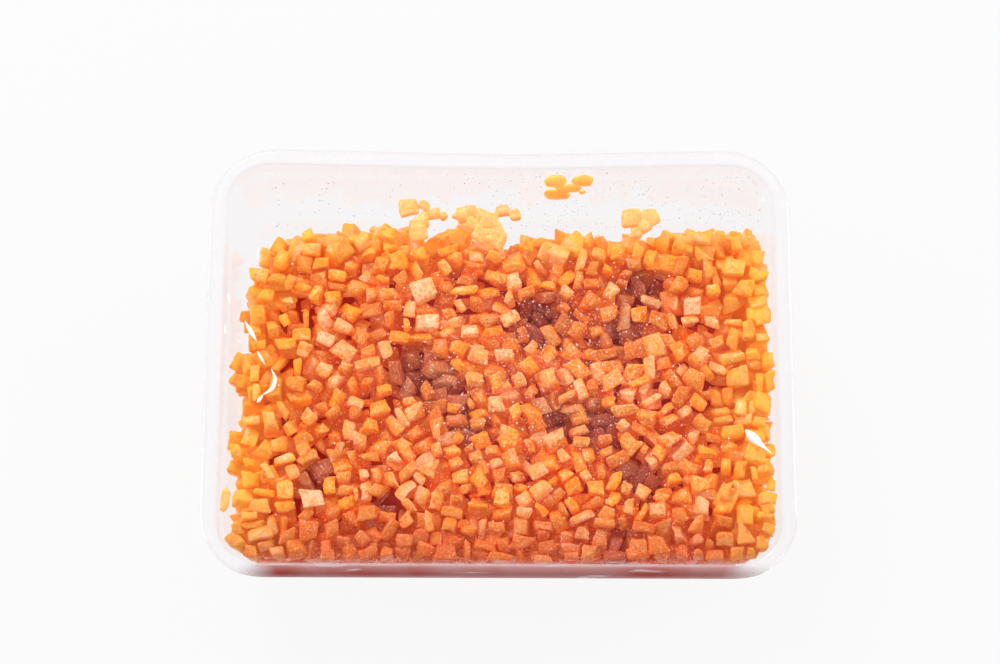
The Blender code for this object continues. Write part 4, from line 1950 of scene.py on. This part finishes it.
    def build(self) -> None:
        """Makes the core and one piece for each kind of die."""
        dice = self.trim(Pour(self.form).settle())
        rng = np.random.default_rng(SEED + 1)
        names, weights = zip(*self.shares)
        kinds = rng.choice(len(names), len(dice.sizes), p=weights)
        shape = DieShape(self.form)
        dice.sizes *= rng.uniform(self.size_low, self.size_high, dice.sizes.shape)
        buried = ramp(dice.places[:, 2], self.top_layer, -self.filling_run)
        dice.sizes *= 1 + self.filling * buried[:, None]
        slivers = rng.random(len(dice.sizes)) < self.sliver_share
        narrow = rng.uniform(*self.sliver_widths, len(dice.sizes))
        dice.sizes[:, 0] *= np.where(slivers, narrow, 1.0)
        self.jumble(dice, rng)
        dice.places[:, 1] -= self.form.shift
        for number, kind in enumerate(names):
            some = dice.keep(kinds == number)
            light, shade = self.side_light(some), self.hollow_shade(some)
            body = shape.mesh(f"dice_{kind.value}", some, rng, light, shade)
            finish_piece(body, PEEL_FINISHES[kind].build(), Slot.PEEL, "peel_heap")
        self.core()
        Stuck(self.form).build(rng)


@dataclass(frozen=True)
class Lamp:
    """A soft square lamp that faces the pack."""

    name: str
    place: tuple[float, float, float]
    size: float
    power: float

    def build(self) -> None:
        """Adds the lamp."""
        light = bpy.data.lights.new(self.name, "AREA")
        light.size = self.size
        light.energy = self.power
        obj = bpy.data.objects.new(self.name, light)
        obj.location = self.place
        obj.rotation_euler = (-Vector(self.place)).to_track_quat("-Z", "Y").to_euler()
        bpy.context.scene.collection.objects.link(obj)


@dataclass
class Studio:
    """Floor, lights, world and camera."""

    form: PackForm
    lamps: Sequence[Lamp] = (
        Lamp("key", (-0.4, 0.85, 0.7), 0.45, 7.6),
        Lamp("side", (0.9, 0.3, 0.5), 0.4, 4.6),
        Lamp("left", (-0.95, 0.0, 0.45), 0.4, 3.3),
    )
    sky: Sequence[tuple[float, Colour]] = (
        (0.0, (0.85, 0.85, 0.86)),
        (0.35, (0.95, 0.95, 0.96)),
        (1.0, (1.0, 1.0, 1.0)),
    )
    sky_strength: float = 0.61
    floor_reach: float = 6.0
    floor_gap: float = 0.05 * MM
    sensor: float = 36.0
    lens: float = 98.2
    eye: tuple[float, float, float] = (0.0002, -0.2361, 0.8932)
    aim: tuple[float, float, float] = (0.0002, 0.0094, 0.045)
    roll: float = math.radians(0.22)

    def build(self) -> None:
        """Makes the studio."""
        self.floor()
        self.world()
        for lamp in self.lamps:
            lamp.build()
        self.camera()

    def floor(self) -> None:
        """Makes the floor."""
        signs = ((-1, -1), (1, -1), (1, 1), (-1, 1))
        verts = np.array([(x * self.floor_reach, y * self.floor_reach, -self.floor_gap) for x, y in signs])
        body = mesh_object("floor", verts, np.array([[0, 1, 2, 3]]))
        body.data.materials.append(FloorFinish().build())

    def world(self) -> None:
        """Makes a pale surround, darker towards the horizon."""
        world = bpy.data.worlds.new("studio")
        world.use_nodes = True
        kit = NodeKit(world.node_tree)
        place = kit.add("ShaderNodeTexCoord", None, None, "Generated")
        level = kit.add("ShaderNodeSeparateXYZ", None, {0: place}, 2)
        sky = kit.add("ShaderNodeValToRGB", {"stops": self.sky}, {"Fac": level})
        light = kit.add("ShaderNodeBackground", None, {"Color": sky, "Strength": self.sky_strength})
        kit.add("ShaderNodeOutputWorld", None, {"Surface": light})
        bpy.context.scene.world = world

    def camera(self) -> None:
        """Makes the camera at the photograph's angle."""
        lens = bpy.data.cameras.new("camera")
        lens.lens = self.lens
        lens.sensor_width = self.sensor
        obj = bpy.data.objects.new("camera", lens)
        move = Vector((0, self.form.shift, 0))
        eye, aim = Vector(self.eye) - move, Vector(self.aim) - move
        obj.location = eye
        turn = (aim - eye).to_track_quat("-Z", "Y").to_matrix() @ Matrix.Rotation(self.roll, 3, "Z")
        obj.rotation_euler = turn.to_euler()
        bpy.context.scene.collection.objects.link(obj)
        bpy.context.scene.camera = obj


def main() -> None:
    """Builds the pack and its studio."""
    logging.basicConfig(level=logging.INFO, format="%(name)s: %(message)s")
    scene = bpy.context.scene
    scene.view_settings.view_transform = "Standard"
    form = PackForm()
    Studio(form).build()
    Tray(form).build()
    film = Film(form)
    film.build()
    Heap(form).build()
    Droplets(form, film).build()
    Glints(form, film).build()


if __name__ == "__main__":
    main()
